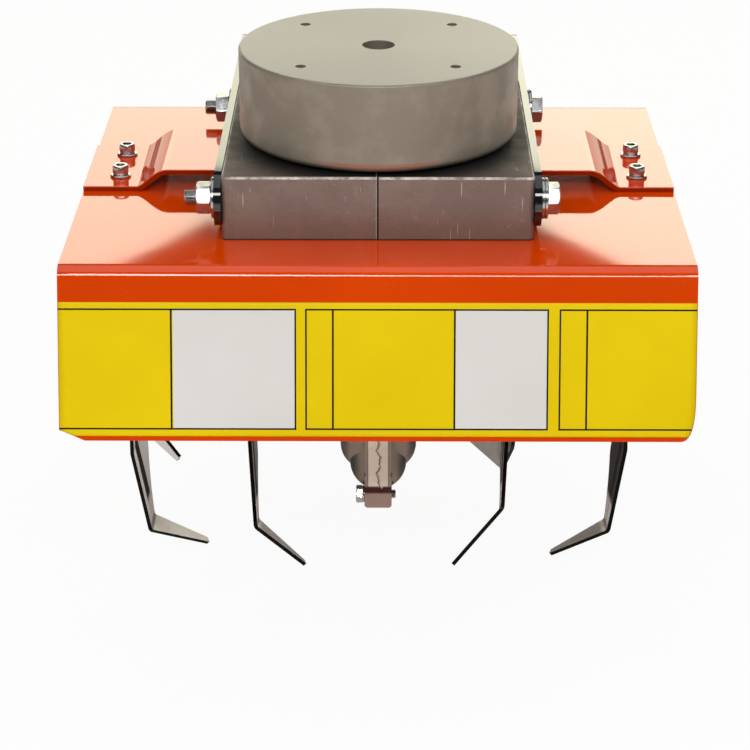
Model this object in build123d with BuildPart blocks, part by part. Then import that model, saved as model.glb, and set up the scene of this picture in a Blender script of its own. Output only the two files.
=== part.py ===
from build123d import *
import os
from math import cos, radians, sin, sqrt, tan

os.makedirs("parts", exist_ok=True)

# Tilling head of a small petrol rotavator: sheet hood, split worm gearbox, drive housing and tined rotor.
# The origin is the centre of the engine flange. +X is the head's right, +Y is the rear, +Z is up.

# Drive housing, the round casting that the engine stands on
housing_radius = 85.5
housing_height = 48.0
housing_wall = 5.0
housing_floor = 6.0
housing_corner = 5.0
cover_thickness = 6.0
cover_lip = 1.5
spigot_radius = 62.0
spigot_height = 1.5
input_bore_radius = 10.0
engine_bolt_circle_diameter = 130.0
engine_bolt_count = 4
engine_bolt_radius = 3.3

# Gearbox, two mirrored castings split at the middle plane
block_width = 185.0
block_front_reach = 85.5
block_depth = 200.0
block_height = 39.5
block_corner = 3.0
block_edge = 2.0
case_radius = 54.0
case_half_width = 25.0
case_round = 17.0
axle_drop = 149.3
worm_offset = 33.0
worm_tube_radius = 18.5
worm_tube_top_radius = 24.0
worm_tube_drop = 206.0
seam_half_width = 8.0
seam_margin = 5.0
clamp_lug_half_width = 8.9
clamp_lug_depth = 18.0
clamp_lug_y = -12.8
clamp_lug_drop = 211.0
clamp_lug_chamfer = 1.5
seam_lug_radius = 7.0
seam_lug_offset = 1.5
seam_lug_angles = (-48.0, 6.0, 60.0)
seam_bolt_radius = 3.0
seam_head_across_flats = 10.0
seam_head_height = 4.2
seam_washer_radius = 5.6
seam_washer_thickness = 1.4
seam_thread_end = 2.6
clamp_bolt_drop = 205.3
seal_boss_radius = 25.0
seal_boss_height = 6.0

# Hood, one folded sheet with a front and a rear apron
hood_width = 370.0
hood_depth = 310.0
hood_front_reach = 130.5
sheet = 2.0
fold_radius = 8.0
front_apron_length = 101.0
rear_apron_length = 62.0
apron_flare_angle = 17.0
left_corner_cut = (15.0, 6.0)
right_corner_cut = (8.5, 25.0)
side_lip = 15.0
leg_opening_gap = 4.0

# Handlebar side plates, and the through bolts that clamp them to the gearbox block
plate_thickness = 4.3
plate_height = 33.0
plate_rear_reach = 235.0
cross_bolt_radius = 5.0
cross_bolt_inset = 11.5
cross_bolt_rise = 22.6
hex_across_flats = 17.0
hex_head_height = 7.0
washer_radius = 12.3
washer_thickness = 2.0
head_washer_count = 2
hex_nut_height = 9.0
thread_end = 7.0
handle_hole_radius = 4.25
handle_hole_inset = 18.0
handle_hole_spacing = 40.0

# Joggled brackets that join the side plates to the hood
bracket_thickness = 3.3
bracket_width = 82.0
bracket_bolt_gap = 8.7
bracket_tab = 36.5
bracket_joggle = 13.0
bracket_rise = 11.0
bracket_ear_height = 9.5
bracket_ear_width = 24.0
bracket_screw_inset = 21.6
bracket_screw_spacing = 42.2
screw_radius = 3.0
screw_end = 5.0
cap_head_radius = 5.0
cap_head_height = 6.0
socket_across_flats = 5.0
screw_washer_radius = 6.6
screw_washer_thickness = 1.6

# Rotor, an axle with a pinned hub each side and two four-armed tine stars on each hub
axle_radius = 12.5
hub_radius = 17.0
hub_inner_end = 36.0
hub_outer_end = 178.0
pin_radius = 4.0
pin_overhang = 4.0
pin_position = 52.0
star_flange_radius = 24.0
star_flange_thickness = 4.0
inner_star_position = 85.0
outer_star_position = 163.0
blade_thickness = 2.5
bend_radius = 3.0
blade_centre_radius = 24.0
blade_root_front = 26.0
blade_root_rear = 25.0
blade_root_reach = 32.0
blade_shoulder_reach = 41.0
blade_shoulder_fillet = 14.0
blade_waist_rear = 13.2
blade_waist_reach = 64.0
blade_knee_width = 18.6
blade_tip_width = 4.0
root_bend_reach = 28.5
root_skew_angle = 30.0
root_bend_angles = {"inner": 4.1, "outer": 11.0}
knee_reach = 89.7
knee_offset = -1.0
knee_bend_angle = 37.5
knee_skew_angle = 23.7
foot_length = 50.0
foot_sweep_angle = 28.2
star_angles = {
    "left_inner": -36.0,
    "left_outer": -18.0,
    "right_inner": -55.0,
    "right_outer": -28.0,
}

# Clearances
running_gap = 0.05
bolt_gap = 0.25

# Levels and places worked out from the sizes above
housing_bottom = -cover_thickness - housing_height
block_top = housing_bottom - spigot_height
deck_top = block_top - block_height
deck_bottom = deck_top - sheet
axle_y = worm_offset
axle_z = deck_top - axle_drop
worm_end = deck_top - worm_tube_drop
clamp_bolt_z = deck_top - clamp_bolt_drop
lug_bottom = deck_top - clamp_lug_drop
dome_z = worm_end + worm_tube_radius
hood_front = -hood_front_reach
hood_rear = hood_front + hood_depth
apron_bottom = deck_top - front_apron_length * cos(radians(apron_flare_angle))
block_front = -block_front_reach
block_rear = block_front + block_depth
plate_face = block_width / 2
plate_outer = plate_face + plate_thickness
bolt_z = deck_top + cross_bolt_rise
bolt_places = {"front": block_front + cross_bolt_inset, "rear": block_rear - cross_bolt_inset}
plate_front = bolt_places["front"] - plate_height / 2
handle_holes_y = plate_rear_reach - handle_hole_inset - handle_hole_spacing / 2
seam_radius = case_radius + seam_margin
seam_front = -worm_tube_radius - seam_margin
seam_bolt_places = [(clamp_lug_y, clamp_bolt_z)] + [
    (
        axle_y + (seam_radius + seam_lug_offset) * cos(radians(angle)),
        axle_z + (seam_radius + seam_lug_offset) * sin(radians(angle)),
    )
    for angle in seam_lug_angles
]
bracket_front = bolt_places["rear"] - washer_radius - bracket_bolt_gap - bracket_width
bracket_middle = bracket_front + bracket_width / 2
screw_x = hood_width / 2 - bracket_screw_inset
screw_places = [
    (side * screw_x, bracket_middle + row * bracket_screw_spacing / 2)
    for side in (-1, 1)
    for row in (-1, 1)
]
sides = {"left": -1, "right": 1}

# Hood: the side profile is one line with rounded folds, thickened inwards
with BuildPart() as hood:
    with BuildSketch(Plane.YZ):
        with BuildLine():
            FilletPolyline(
                (hood_front - front_apron_length * sin(radians(apron_flare_angle)), apron_bottom),
                (hood_front, deck_top),
                (hood_rear, deck_top),
                (
                    hood_rear + rear_apron_length * sin(radians(apron_flare_angle)),
                    deck_top - rear_apron_length * cos(radians(apron_flare_angle)),
                ),
                radius=fold_radius,
            )
            offset(amount=sheet, side=Side.RIGHT)
        make_face()
    extrude(amount=hood_width / 2, both=True)
    with BuildSketch(Plane.XY.offset(deck_bottom)):
        with Locations((0, (hood_front + hood_rear) / 2)):
            Rectangle(hood_width, hood_depth - 2 * fold_radius)
            Rectangle(hood_width - 2 * sheet, hood_depth, mode=Mode.SUBTRACT)
    extrude(amount=-side_lip)
    with BuildSketch(Plane.XY.offset(deck_top)):
        with Locations((0, axle_y)):
            RectangleRounded(
                2 * (case_half_width + leg_opening_gap),
                2 * (seam_radius + leg_opening_gap),
                seam_margin,
            )
        with Locations(*screw_places):
            Circle(screw_radius + bolt_gap)
    extrude(amount=-sheet, mode=Mode.SUBTRACT)
    with BuildSketch(Plane.XZ.offset(hood_front_reach)):
        with BuildLine():
            Polyline(
                (-hood_width / 2, apron_bottom),
                (-hood_width / 2, apron_bottom + left_corner_cut[1]),
                (-hood_width / 2 + left_corner_cut[0], apron_bottom),
                close=True,
            )
        make_face()
        with BuildLine():
            corner = (hood_width / 2, apron_bottom)
            corner_top = (hood_width / 2, apron_bottom + right_corner_cut[1])
            corner_foot = (hood_width / 2 - right_corner_cut[0], apron_bottom)
            Bezier(corner_top, corner, corner_foot)
            Polyline(corner_foot, corner, corner_top)
        make_face()
    extrude(amount=2 * front_apron_length * sin(radians(apron_flare_angle)), mode=Mode.SUBTRACT)
hood.part.label = "hood"
export_step(hood.part, "parts/hood.step")

# Gearbox: wheel case, worm tube, block and bolted seam as one casting, split at the middle plane
for side, keep in (("left", Keep.BOTTOM), ("right", Keep.TOP)):
    with BuildPart() as gearbox_half:
        with BuildSketch(Plane.YZ):
            with Locations((axle_y, axle_z)):
                Circle(case_radius)
        extrude(amount=case_half_width, both=True)
        fillet(gearbox_half.edges().filter_by(GeomType.CIRCLE), case_round)
        with BuildSketch(Plane.XZ):
            with BuildLine():
                Polyline(
                    (0, worm_end),
                    (0, deck_top),
                    (worm_tube_top_radius, deck_top),
                    (worm_tube_radius, dome_z),
                )
                RadiusArc((worm_tube_radius, dome_z), (0, worm_end), worm_tube_radius)
            make_face()
        revolve(axis=Axis.Z)
        with BuildSketch(Plane.YZ):
            with Locations((axle_y, axle_z)):
                Circle(seam_radius)
            with Locations((0, dome_z)):
                Circle(worm_tube_radius + seam_margin)
            with Locations(((axle_y + seam_front) / 2, (deck_top + dome_z) / 2)):
                Rectangle(axle_y - seam_front, deck_top - dome_z)
            with Locations(*seam_bolt_places[1:]):
                Circle(seam_lug_radius)
        extrude(amount=seam_half_width, both=True)
        with BuildSketch(Plane.XZ.offset(-clamp_lug_y)):
            with Locations((0, (lug_bottom + dome_z) / 2)):
                lug_face = Rectangle(2 * clamp_lug_half_width, dome_z - lug_bottom)
            chamfer(lug_face.vertices().group_by(Axis.Z)[0], clamp_lug_chamfer)
        extrude(amount=clamp_lug_depth / 2, both=True)
        with BuildSketch(Plane.YZ):
            with Locations((axle_y, axle_z)):
                Circle(seal_boss_radius)
        extrude(amount=case_half_width + seal_boss_height, both=True)
        with BuildSketch(Plane.XY.offset(deck_top)):
            with Locations((0, (block_front + block_rear) / 2)):
                RectangleRounded(block_width, block_depth, block_corner)
        extrude(amount=block_height)
        fillet(gearbox_half.faces().sort_by(Axis.Z)[-1].edges(), block_edge)
        with BuildSketch(Plane.XY.offset(block_top)):
            Circle(spigot_radius)
        extrude(amount=spigot_height)
        with BuildSketch(Plane.YZ):
            with Locations((axle_y, axle_z)):
                Circle(axle_radius + running_gap)
            for bolt_y in bolt_places.values():
                with Locations((bolt_y, bolt_z)):
                    Circle(cross_bolt_radius + bolt_gap)
            with Locations(*seam_bolt_places):
                Circle(seam_bolt_radius + bolt_gap)
        extrude(amount=block_width, both=True, mode=Mode.SUBTRACT)
        split(bisect_by=Plane.YZ, keep=keep)
    gearbox_half.part.label = f"gearbox_half_{side}"
    export_step(gearbox_half.part, f"parts/gearbox_half_{side}.step")

# Seam bolts: one through the clamp lug at the foot, the others round the wheel case
seam_bolt_seats = [clamp_lug_half_width] + [seam_half_width] * len(seam_lug_angles)
with BuildPart() as seam_bolt:
    for bolt_place, seat in zip(seam_bolt_places, seam_bolt_seats):
        with BuildSketch(Plane.YZ.offset(-seat)):
            with Locations(bolt_place):
                Circle(seam_washer_radius)
        extrude(amount=-seam_washer_thickness)
        with BuildSketch(Plane.YZ.offset(-seat - seam_washer_thickness)):
            with Locations(bolt_place):
                RegularPolygon(seam_head_across_flats / 2, 6, major_radius=False)
        extrude(amount=-seam_head_height)
        with BuildSketch(Plane.YZ.offset(-seat)):
            with Locations(bolt_place):
                Circle(seam_bolt_radius)
        extrude(amount=2 * seat + seam_thread_end)
seam_bolt.part.label = "seam_bolt"
export_step(seam_bolt.part, "parts/seam_bolt.step")

# Drive housing: an open round casting with a flat floor, and its cover with the engine flange
with BuildPart() as drive_housing:
    with BuildSketch(Plane.XY.offset(housing_bottom)):
        Circle(housing_radius)
    extrude(amount=housing_height)
    fillet(drive_housing.edges().sort_by(Axis.Z)[0], housing_corner)
    with BuildSketch(Plane.XY.offset(-cover_thickness)):
        Circle(housing_radius - housing_wall)
    extrude(amount=-(housing_height - housing_floor), mode=Mode.SUBTRACT)
drive_housing.part.label = "drive_housing"
export_step(drive_housing.part, "parts/drive_housing.step")

with BuildPart() as housing_cover:
    with BuildSketch(Plane.XY.offset(-cover_thickness)):
        Circle(housing_radius)
    extrude(amount=cover_thickness)
    fillet(housing_cover.edges().sort_by(Axis.Z)[-1], cover_lip)
    with BuildSketch(Plane.XY):
        Circle(input_bore_radius)
        with PolarLocations(engine_bolt_circle_diameter / 2, engine_bolt_count, start_angle=45):
            Circle(engine_bolt_radius)
    extrude(amount=-cover_thickness, mode=Mode.SUBTRACT)
housing_cover.part.label = "housing_cover"
export_step(housing_cover.part, "parts/housing_cover.step")

# Side plates: flat bars with a round front end, against the sides of the gearbox block
for side, sign in sides.items():
    with BuildPart() as side_plate:
        with BuildSketch(Plane.YZ.offset(sign * plate_face)):
            with Locations(((plate_front + plate_rear_reach) / 2, bolt_z)):
                SlotOverall(plate_rear_reach - plate_front, plate_height)
            for bolt_y in bolt_places.values():
                with Locations((bolt_y, bolt_z)):
                    Circle(cross_bolt_radius + bolt_gap, mode=Mode.SUBTRACT)
            with Locations((handle_holes_y, bolt_z)):
                with GridLocations(handle_hole_spacing, 0, 2, 1):
                    Circle(handle_hole_radius, mode=Mode.SUBTRACT)
        extrude(amount=sign * plate_thickness)
    side_plate.part.label = f"side_plate_{side}"
    export_step(side_plate.part, f"parts/side_plate_{side}.step")

# Cross bolts: a long bolt each, its head on the right over its washers and its nut on the left
head_seat = plate_outer + head_washer_count * washer_thickness
for place, bolt_y in bolt_places.items():
    with BuildPart() as cross_bolt:
        with BuildSketch(Plane.YZ.offset(plate_outer)):
            with Locations((bolt_y, bolt_z)):
                Circle(washer_radius)
        extrude(amount=head_seat - plate_outer)
        with BuildSketch(Plane.YZ.offset(head_seat)):
            with Locations((bolt_y, bolt_z)):
                RegularPolygon(hex_across_flats / 2, 6, major_radius=False)
        extrude(amount=hex_head_height)
        with BuildSketch(Plane.YZ.offset(plate_outer)):
            with Locations((bolt_y, bolt_z)):
                Circle(cross_bolt_radius)
        extrude(amount=-(2 * plate_outer + washer_thickness + hex_nut_height + thread_end))
    cross_bolt.part.label = f"cross_bolt_{place}"
    export_step(cross_bolt.part, f"parts/cross_bolt_{place}.step")

    with BuildPart() as cross_nut:
        with BuildSketch(Plane.YZ.offset(-plate_outer)):
            with Locations((bolt_y, bolt_z)):
                Circle(washer_radius)
        extrude(amount=-washer_thickness)
        with BuildSketch(Plane.YZ.offset(-plate_outer - washer_thickness)):
            with Locations((bolt_y, bolt_z)):
                RegularPolygon(hex_across_flats / 2, 6, major_radius=False)
        extrude(amount=-hex_nut_height)
        with BuildSketch(Plane.YZ.offset(-plate_outer)):
            with Locations((bolt_y, bolt_z)):
                Circle(cross_bolt_radius + running_gap)
        extrude(amount=-(washer_thickness + hex_nut_height), mode=Mode.SUBTRACT)
    cross_nut.part.label = f"cross_nut_{place}"
    export_step(cross_nut.part, f"parts/cross_nut_{place}.step")

# Brackets: a strap with a tab on the hood, a joggle up, and an ear turned up at the side plate
for side, sign in sides.items():
    tab_end = hood_width / 2 - bracket_tab
    joggle_end = tab_end - bracket_joggle
    with BuildPart() as hood_bracket:
        with BuildSketch(Plane.XZ.offset(-bracket_front)):
            with BuildLine():
                FilletPolyline(
                    (sign * hood_width / 2, deck_top),
                    (sign * tab_end, deck_top),
                    (sign * joggle_end, deck_top + bracket_rise),
                    (sign * plate_outer, deck_top + bracket_rise),
                    radius=bracket_thickness,
                )
                offset(amount=bracket_thickness, side=Side.RIGHT if sign > 0 else Side.LEFT)
            make_face()
        extrude(amount=-bracket_width)
        with BuildSketch(Plane.XY.offset(deck_top + bracket_rise + bracket_thickness)):
            with Locations((sign * (plate_outer + bracket_thickness / 2), bracket_middle)):
                Rectangle(bracket_thickness, bracket_ear_width)
        extrude(amount=bracket_ear_height)
        with BuildSketch(Plane.XY.offset(deck_top)):
            with Locations((sign * screw_x, bracket_middle)):
                with GridLocations(0, bracket_screw_spacing, 1, 2):
                    Circle(screw_radius + bolt_gap)
        extrude(amount=bracket_thickness, mode=Mode.SUBTRACT)
    hood_bracket.part.label = f"hood_bracket_{side}"
    export_step(hood_bracket.part, f"parts/hood_bracket_{side}.step")

# Socket screws that hold the brackets to the hood
screw_seat = deck_top + bracket_thickness
for number, (screw_place_x, screw_place_y) in enumerate(screw_places, start=1):
    with BuildPart() as bracket_screw:
        with BuildSketch(Plane.XY.offset(screw_seat)):
            with Locations((screw_place_x, screw_place_y)):
                Circle(screw_washer_radius)
        extrude(amount=screw_washer_thickness)
        with BuildSketch(Plane.XY.offset(screw_seat + screw_washer_thickness)):
            with Locations((screw_place_x, screw_place_y)):
                Circle(cap_head_radius)
        extrude(amount=cap_head_height)
        with BuildSketch(Plane.XY.offset(screw_seat + screw_washer_thickness + cap_head_height)):
            with Locations((screw_place_x, screw_place_y)):
                RegularPolygon(socket_across_flats / 2, 6, major_radius=False)
        extrude(amount=-cap_head_height / 2, mode=Mode.SUBTRACT)
        with BuildSketch(Plane.XY.offset(screw_seat)):
            with Locations((screw_place_x, screw_place_y)):
                Circle(screw_radius)
        extrude(amount=-(bracket_thickness + sheet + screw_end))
    bracket_screw.part.label = f"bracket_screw_{number}"
    export_step(bracket_screw.part, f"parts/bracket_screw_{number}.step")

# Axle: one bar through the wheel case, running in both halves
with BuildPart() as rotor_axle:
    with BuildSketch(Plane.YZ):
        with Locations((axle_y, axle_z)):
            Circle(axle_radius)
    extrude(amount=hub_outer_end, both=True)
    with BuildSketch(Plane.XZ.offset(-axle_y)):
        with Locations(*[(sign * pin_position, axle_z) for sign in sides.values()]):
            Circle(pin_radius + running_gap)
    extrude(amount=axle_radius, both=True, mode=Mode.SUBTRACT)
rotor_axle.part.label = "rotor_axle"
export_step(rotor_axle.part, "parts/rotor_axle.step")


def turned(plane, angle):
    """The same plane with its x and y axes turned about its z axis."""
    turn = radians(angle)
    x_dir = plane.x_dir * cos(turn) + plane.y_dir * sin(turn)
    return Plane(origin=plane.origin, x_dir=x_dir, z_dir=plane.z_dir)


def shifted(plane, x, y):
    """The same plane moved along its own x and y axes."""
    return Plane(origin=plane.from_local_coords((x, y)), x_dir=plane.x_dir, z_dir=plane.z_dir)


def after_bend(plane, angle):
    """The sheet's plane on the far side of a bend about its x axis, towards its +z side."""
    turn = radians(angle)
    radius = blade_thickness + bend_radius
    origin = plane.origin + plane.y_dir * (radius * sin(turn)) + plane.z_dir * (radius * (1 - cos(turn)))
    normal = plane.z_dir * cos(turn) - plane.y_dir * sin(turn)
    return Plane(origin=origin, x_dir=plane.x_dir, z_dir=normal)


def bend_axis(plane):
    """The line that a bend about the plane's x axis turns round, above the sheet's inner face."""
    return Axis(plane.origin + plane.z_dir * (blade_thickness + bend_radius), plane.x_dir)


def bend_section(plane, start, end):
    """The sheet's section between two points along the bend line, square to the sheet."""
    with BuildSketch(Plane(origin=plane.origin, x_dir=plane.x_dir, z_dir=-plane.y_dir)) as section:
        with Locations(((start + end) / 2, blade_thickness / 2)):
            Rectangle(end - start, blade_thickness)
    return section.sketch


# Blade outline in an arm's own plane, x to the rear and y outwards from the axle
root_slope = tan(radians(root_skew_angle))
root_cosine = cos(radians(root_skew_angle))
knee_front_x = knee_offset - blade_knee_width / 2 * cos(radians(knee_skew_angle))
knee_front_y = knee_reach + blade_knee_width / 2 * sin(radians(knee_skew_angle))
knee_rear_x = knee_offset + blade_knee_width / 2 * cos(radians(knee_skew_angle))
knee_rear_y = knee_reach - blade_knee_width / 2 * sin(radians(knee_skew_angle))
front_lean = (knee_front_x + blade_root_front) / (knee_front_y - blade_root_reach)
bend_front = (blade_root_front - front_lean * (root_bend_reach - blade_root_reach)) / (1 + front_lean * root_slope)
bend_front_y = root_bend_reach + bend_front * root_slope
bend_rear_y = root_bend_reach - blade_root_rear * root_slope
tip_x = foot_length * sin(radians(foot_sweep_angle))
tip_y = foot_length * cos(radians(foot_sweep_angle))
tip_across_x = blade_tip_width / 2 * cos(radians(foot_sweep_angle))
tip_across_y = blade_tip_width / 2 * sin(radians(foot_sweep_angle))

# Hubs with their two star flanges, the pins, and two crossed S-shaped blades on each flange
for side, sign in sides.items():
    star_places = {"inner": inner_star_position, "outer": outer_star_position}
    with BuildPart() as hub:
        with BuildSketch(Plane.YZ.offset(sign * hub_inner_end)):
            with Locations((axle_y, axle_z)):
                Circle(hub_radius)
        extrude(amount=sign * (hub_outer_end - hub_inner_end))
        for place in star_places.values():
            with BuildSketch(Plane.YZ.offset(sign * place)):
                with Locations((axle_y, axle_z)):
                    Circle(star_flange_radius)
            extrude(amount=sign * star_flange_thickness)
        with BuildSketch(Plane.YZ.offset(sign * hub_inner_end)):
            with Locations((axle_y, axle_z)):
                Circle(axle_radius + running_gap)
        extrude(amount=sign * (hub_outer_end - hub_inner_end), mode=Mode.SUBTRACT)
        with BuildSketch(Plane.XZ.offset(-axle_y)):
            with Locations((sign * pin_position, axle_z)):
                Circle(pin_radius + running_gap)
        extrude(amount=hub_radius, both=True, mode=Mode.SUBTRACT)
    hub.part.label = f"hub_{side}"
    export_step(hub.part, f"parts/hub_{side}.step")

    with BuildPart() as hub_pin:
        with BuildSketch(Plane.XZ.offset(-axle_y)):
            with Locations((sign * pin_position, axle_z)):
                Circle(pin_radius)
        extrude(amount=hub_radius + pin_overhang, both=True)
    hub_pin.part.label = f"hub_pin_{side}"
    export_step(hub_pin.part, f"parts/hub_pin_{side}.step")

    for star, place in star_places.items():
        for layer, quarter in (("front", 0), ("back", 90)):
            face = place if layer == "front" else place + star_flange_thickness + blade_thickness
            star_centre = Vector(sign * face, axle_y, axle_z)
            inward = Vector(-sign, 0, 0)
            with BuildPart() as blade:
                with BuildSketch(Plane(origin=star_centre, z_dir=inward)):
                    Circle(blade_centre_radius)
                extrude(amount=blade_thickness)
                for half_turn in (0, 180):
                    phase = radians(star_angles[f"{side}_{star}"] + quarter + half_turn)
                    outward = Vector(0, sin(phase), -cos(phase))
                    arm_plane = Plane(origin=star_centre, x_dir=outward.cross(inward), z_dir=inward)
                    root_plane = turned(shifted(arm_plane, 0, root_bend_reach), -sign * root_skew_angle)
                    shank_plane = turned(
                        after_bend(root_plane, root_bend_angles[star]), sign * root_skew_angle
                    )
                    knee_plane = turned(
                        shifted(shank_plane, sign * knee_offset, knee_reach - root_bend_reach),
                        -sign * knee_skew_angle,
                    )
                    foot_plane = after_bend(knee_plane, knee_bend_angle)

                    # Flat root, from the middle of the blade to the skewed bend line
                    with BuildSketch(arm_plane):
                        with BuildLine():
                            Polyline(
                                (-sign * blade_root_front, 0),
                                (sign * blade_root_rear, 0),
                                (sign * blade_root_rear, bend_rear_y),
                                (-sign * bend_front, bend_front_y),
                                (-sign * blade_root_front, blade_root_reach),
                                close=True,
                            )
                        make_face()
                    extrude(amount=blade_thickness)
                    bend_line = sorted((-sign * bend_front / root_cosine, sign * blade_root_rear / root_cosine))
                    root_section = bend_section(root_plane, *bend_line)
                    revolve(root_section, axis=bend_axis(root_plane), revolution_arc=root_bend_angles[star])

                    # Shank, straight along its front edge and hollowed along its rear edge
                    with BuildSketch(shank_plane):
                        with BuildLine():
                            front_start = (-sign * bend_front, bend_front_y - root_bend_reach)
                            rear_start = (sign * blade_root_rear, bend_rear_y - root_bend_reach)
                            shoulder = (sign * blade_root_rear, blade_shoulder_reach - root_bend_reach)
                            waist = (sign * blade_waist_rear, blade_waist_reach - root_bend_reach)
                            knee_rear = (sign * knee_rear_x, knee_rear_y - root_bend_reach)
                            knee_front = (sign * knee_front_x, knee_front_y - root_bend_reach)
                            Line(rear_start, shoulder)
                            ThreePointArc(shoulder, waist, knee_rear)
                            Polyline(knee_rear, knee_front, front_start, rear_start)
                        shank_face = make_face()
                        shoulder_point = shank_face.vertices().sort_by_distance(Vector(*shoulder))[0]
                        fillet(shoulder_point, blade_shoulder_fillet)
                    extrude(amount=blade_thickness)
                    knee_section = bend_section(knee_plane, -blade_knee_width / 2, blade_knee_width / 2)
                    revolve(knee_section, axis=bend_axis(knee_plane), revolution_arc=knee_bend_angle)

                    # Foot, tapered and swept along the bend line
                    with BuildSketch(foot_plane):
                        with BuildLine():
                            Polyline(
                                (-blade_knee_width / 2, 0),
                                (blade_knee_width / 2, 0),
                                (sign * tip_x + tip_across_x, tip_y - sign * tip_across_y),
                                (sign * tip_x - tip_across_x, tip_y + sign * tip_across_y),
                                close=True,
                            )
                        make_face()
                    extrude(amount=blade_thickness)
                with BuildSketch(Plane(origin=star_centre, z_dir=inward)):
                    Circle(hub_radius + running_gap)
                extrude(amount=blade_thickness, mode=Mode.SUBTRACT)
            blade.part.label = f"blade_{side}_{star}_{layer}"
            export_step(blade.part, f"parts/blade_{side}_{star}_{layer}.step")
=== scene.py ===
# %% [markdown]
# # The tilling head of a small rotavator, dressed for its portrait
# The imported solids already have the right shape, so this lesson adds what a solid does not carry: paint,
# castings that look cast, threads, knurls, weld beads and the vinyl band on the front apron. Everything is in
# metres and stands where the solids stand. A piece that turns with the tines rides on the body "rotor", the
# rest on "head".

# %% Load the solids and keep their box
from math import cos, pi, radians, sin, tan

import bmesh
import bpy
import numpy as np
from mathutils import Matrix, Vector


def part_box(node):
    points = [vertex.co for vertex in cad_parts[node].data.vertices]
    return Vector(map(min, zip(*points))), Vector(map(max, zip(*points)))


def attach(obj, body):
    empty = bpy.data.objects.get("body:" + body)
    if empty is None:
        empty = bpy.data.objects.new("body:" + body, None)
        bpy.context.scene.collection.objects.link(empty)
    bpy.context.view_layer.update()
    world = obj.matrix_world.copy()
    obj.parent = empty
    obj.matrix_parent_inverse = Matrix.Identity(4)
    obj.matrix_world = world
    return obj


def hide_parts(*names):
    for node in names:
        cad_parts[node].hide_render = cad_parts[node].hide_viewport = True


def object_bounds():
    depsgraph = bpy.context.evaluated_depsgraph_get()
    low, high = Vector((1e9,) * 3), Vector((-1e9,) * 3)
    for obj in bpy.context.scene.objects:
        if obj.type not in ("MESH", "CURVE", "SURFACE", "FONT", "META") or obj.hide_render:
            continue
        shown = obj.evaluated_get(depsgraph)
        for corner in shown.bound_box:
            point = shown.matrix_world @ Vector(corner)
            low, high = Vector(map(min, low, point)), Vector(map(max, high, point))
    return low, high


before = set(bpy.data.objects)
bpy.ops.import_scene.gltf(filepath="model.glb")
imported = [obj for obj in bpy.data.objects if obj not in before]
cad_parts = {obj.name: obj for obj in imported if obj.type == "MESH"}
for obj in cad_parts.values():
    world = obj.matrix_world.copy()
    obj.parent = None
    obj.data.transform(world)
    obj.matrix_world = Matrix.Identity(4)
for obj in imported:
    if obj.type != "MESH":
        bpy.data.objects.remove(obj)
cad_box = [list(map(float, corner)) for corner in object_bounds()]
print("solids:", len(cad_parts), "box:", np.round(cad_box, 4).tolist())

# %% [markdown]
# ## The camera
# The photograph looks down on the head by 24 degrees, from about 1.4 m, with a long lens and a trace of a
# turn to the left. The camera's place is worked out from the level of the deck and from the front fold of the
# hood, because those two lines were the ones measured on the photograph.

# %% Camera
SENSOR_MM = 36.0
FOCAL_PIXELS = 2365.0
IMAGE_PIXELS = 750.0
CAMERA_PITCH = radians(24.0)
CAMERA_YAW = radians(0.32)
CAMERA_SIDE = 0.0057
CAMERA_BACK = 1.2701
CAMERA_RISE = 0.4980
HOOD_FRONT = -0.1305
APRON_FLARE = radians(17.0)

hood_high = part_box("hood")[1]
hood_half = hood_high.x
DECK_TOP = hood_high.z


def stand(name, data):
    """A new object for the given camera, lamp or mesh, linked to the scene at the origin."""
    thing = bpy.data.objects.new(name, data)
    bpy.context.scene.collection.objects.link(thing)
    return thing


camera_data = bpy.data.cameras.new("portrait_camera")
camera_data.sensor_width = SENSOR_MM
camera_data.lens = SENSOR_MM * FOCAL_PIXELS / IMAGE_PIXELS
camera = stand("portrait_camera", camera_data)
camera.location = (CAMERA_SIDE, HOOD_FRONT - CAMERA_BACK, DECK_TOP + CAMERA_RISE)
camera.rotation_euler = (pi / 2 - CAMERA_PITCH, 0.0, CAMERA_YAW)
bpy.context.scene.camera = camera
bpy.context.scene.view_settings.view_transform = "Standard"
print("lens", round(camera_data.lens, 1), "mm, deck at", round(DECK_TOP, 4))

# %% [markdown]
# ## Lamps
# The photograph is lit like a catalogue picture: soft from every side. Two large panels stand in front at the
# sides and one hangs overhead. A fourth is narrow and bright, and stands where the hood's fold mirrors it,
# which draws the pale line along the fold.

# %% Soft panels
LAMP_AIM = (0.0, -0.1, -0.15)
FOLD_AIM = (0.0, -0.13, -0.1)
DECK_AIM = (0.0, 0.0, -0.1)
SIDE_PANEL = (1.3, 1.1)
FRONT_PANEL = (1.3, 0.34)
TOP_PANEL = (3.2, 2.2)


def soft_panel(name, place, aim, size, radiance):
    """A rectangular lamp whose face has the given radiance: power = radiance x area x pi."""
    lamp = bpy.data.lights.new(name, "AREA")
    lamp.shape = "RECTANGLE"
    lamp.size, lamp.size_y = size
    lamp.energy = radiance * size[0] * size[1] * pi
    panel = stand(name, lamp)
    panel.location = place
    direction = Vector(aim) - Vector(place)
    panel.rotation_euler = direction.to_track_quat("-Z", "Y").to_euler()
    panel.visible_camera = False


soft_panel("panel_left", place=(-1.3, -1.35, 1.15), aim=LAMP_AIM, size=SIDE_PANEL, radiance=1.3)
soft_panel("panel_right", place=(1.3, -1.35, 1.15), aim=LAMP_AIM, size=SIDE_PANEL, radiance=1.0)
soft_panel("panel_front", place=(0.0, -1.69, 0.99), aim=FOLD_AIM, size=FRONT_PANEL, radiance=10.0)
soft_panel("panel_above", place=(0.0, 0.05, 1.6), aim=DECK_AIM, size=TOP_PANEL, radiance=0.75)

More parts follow.
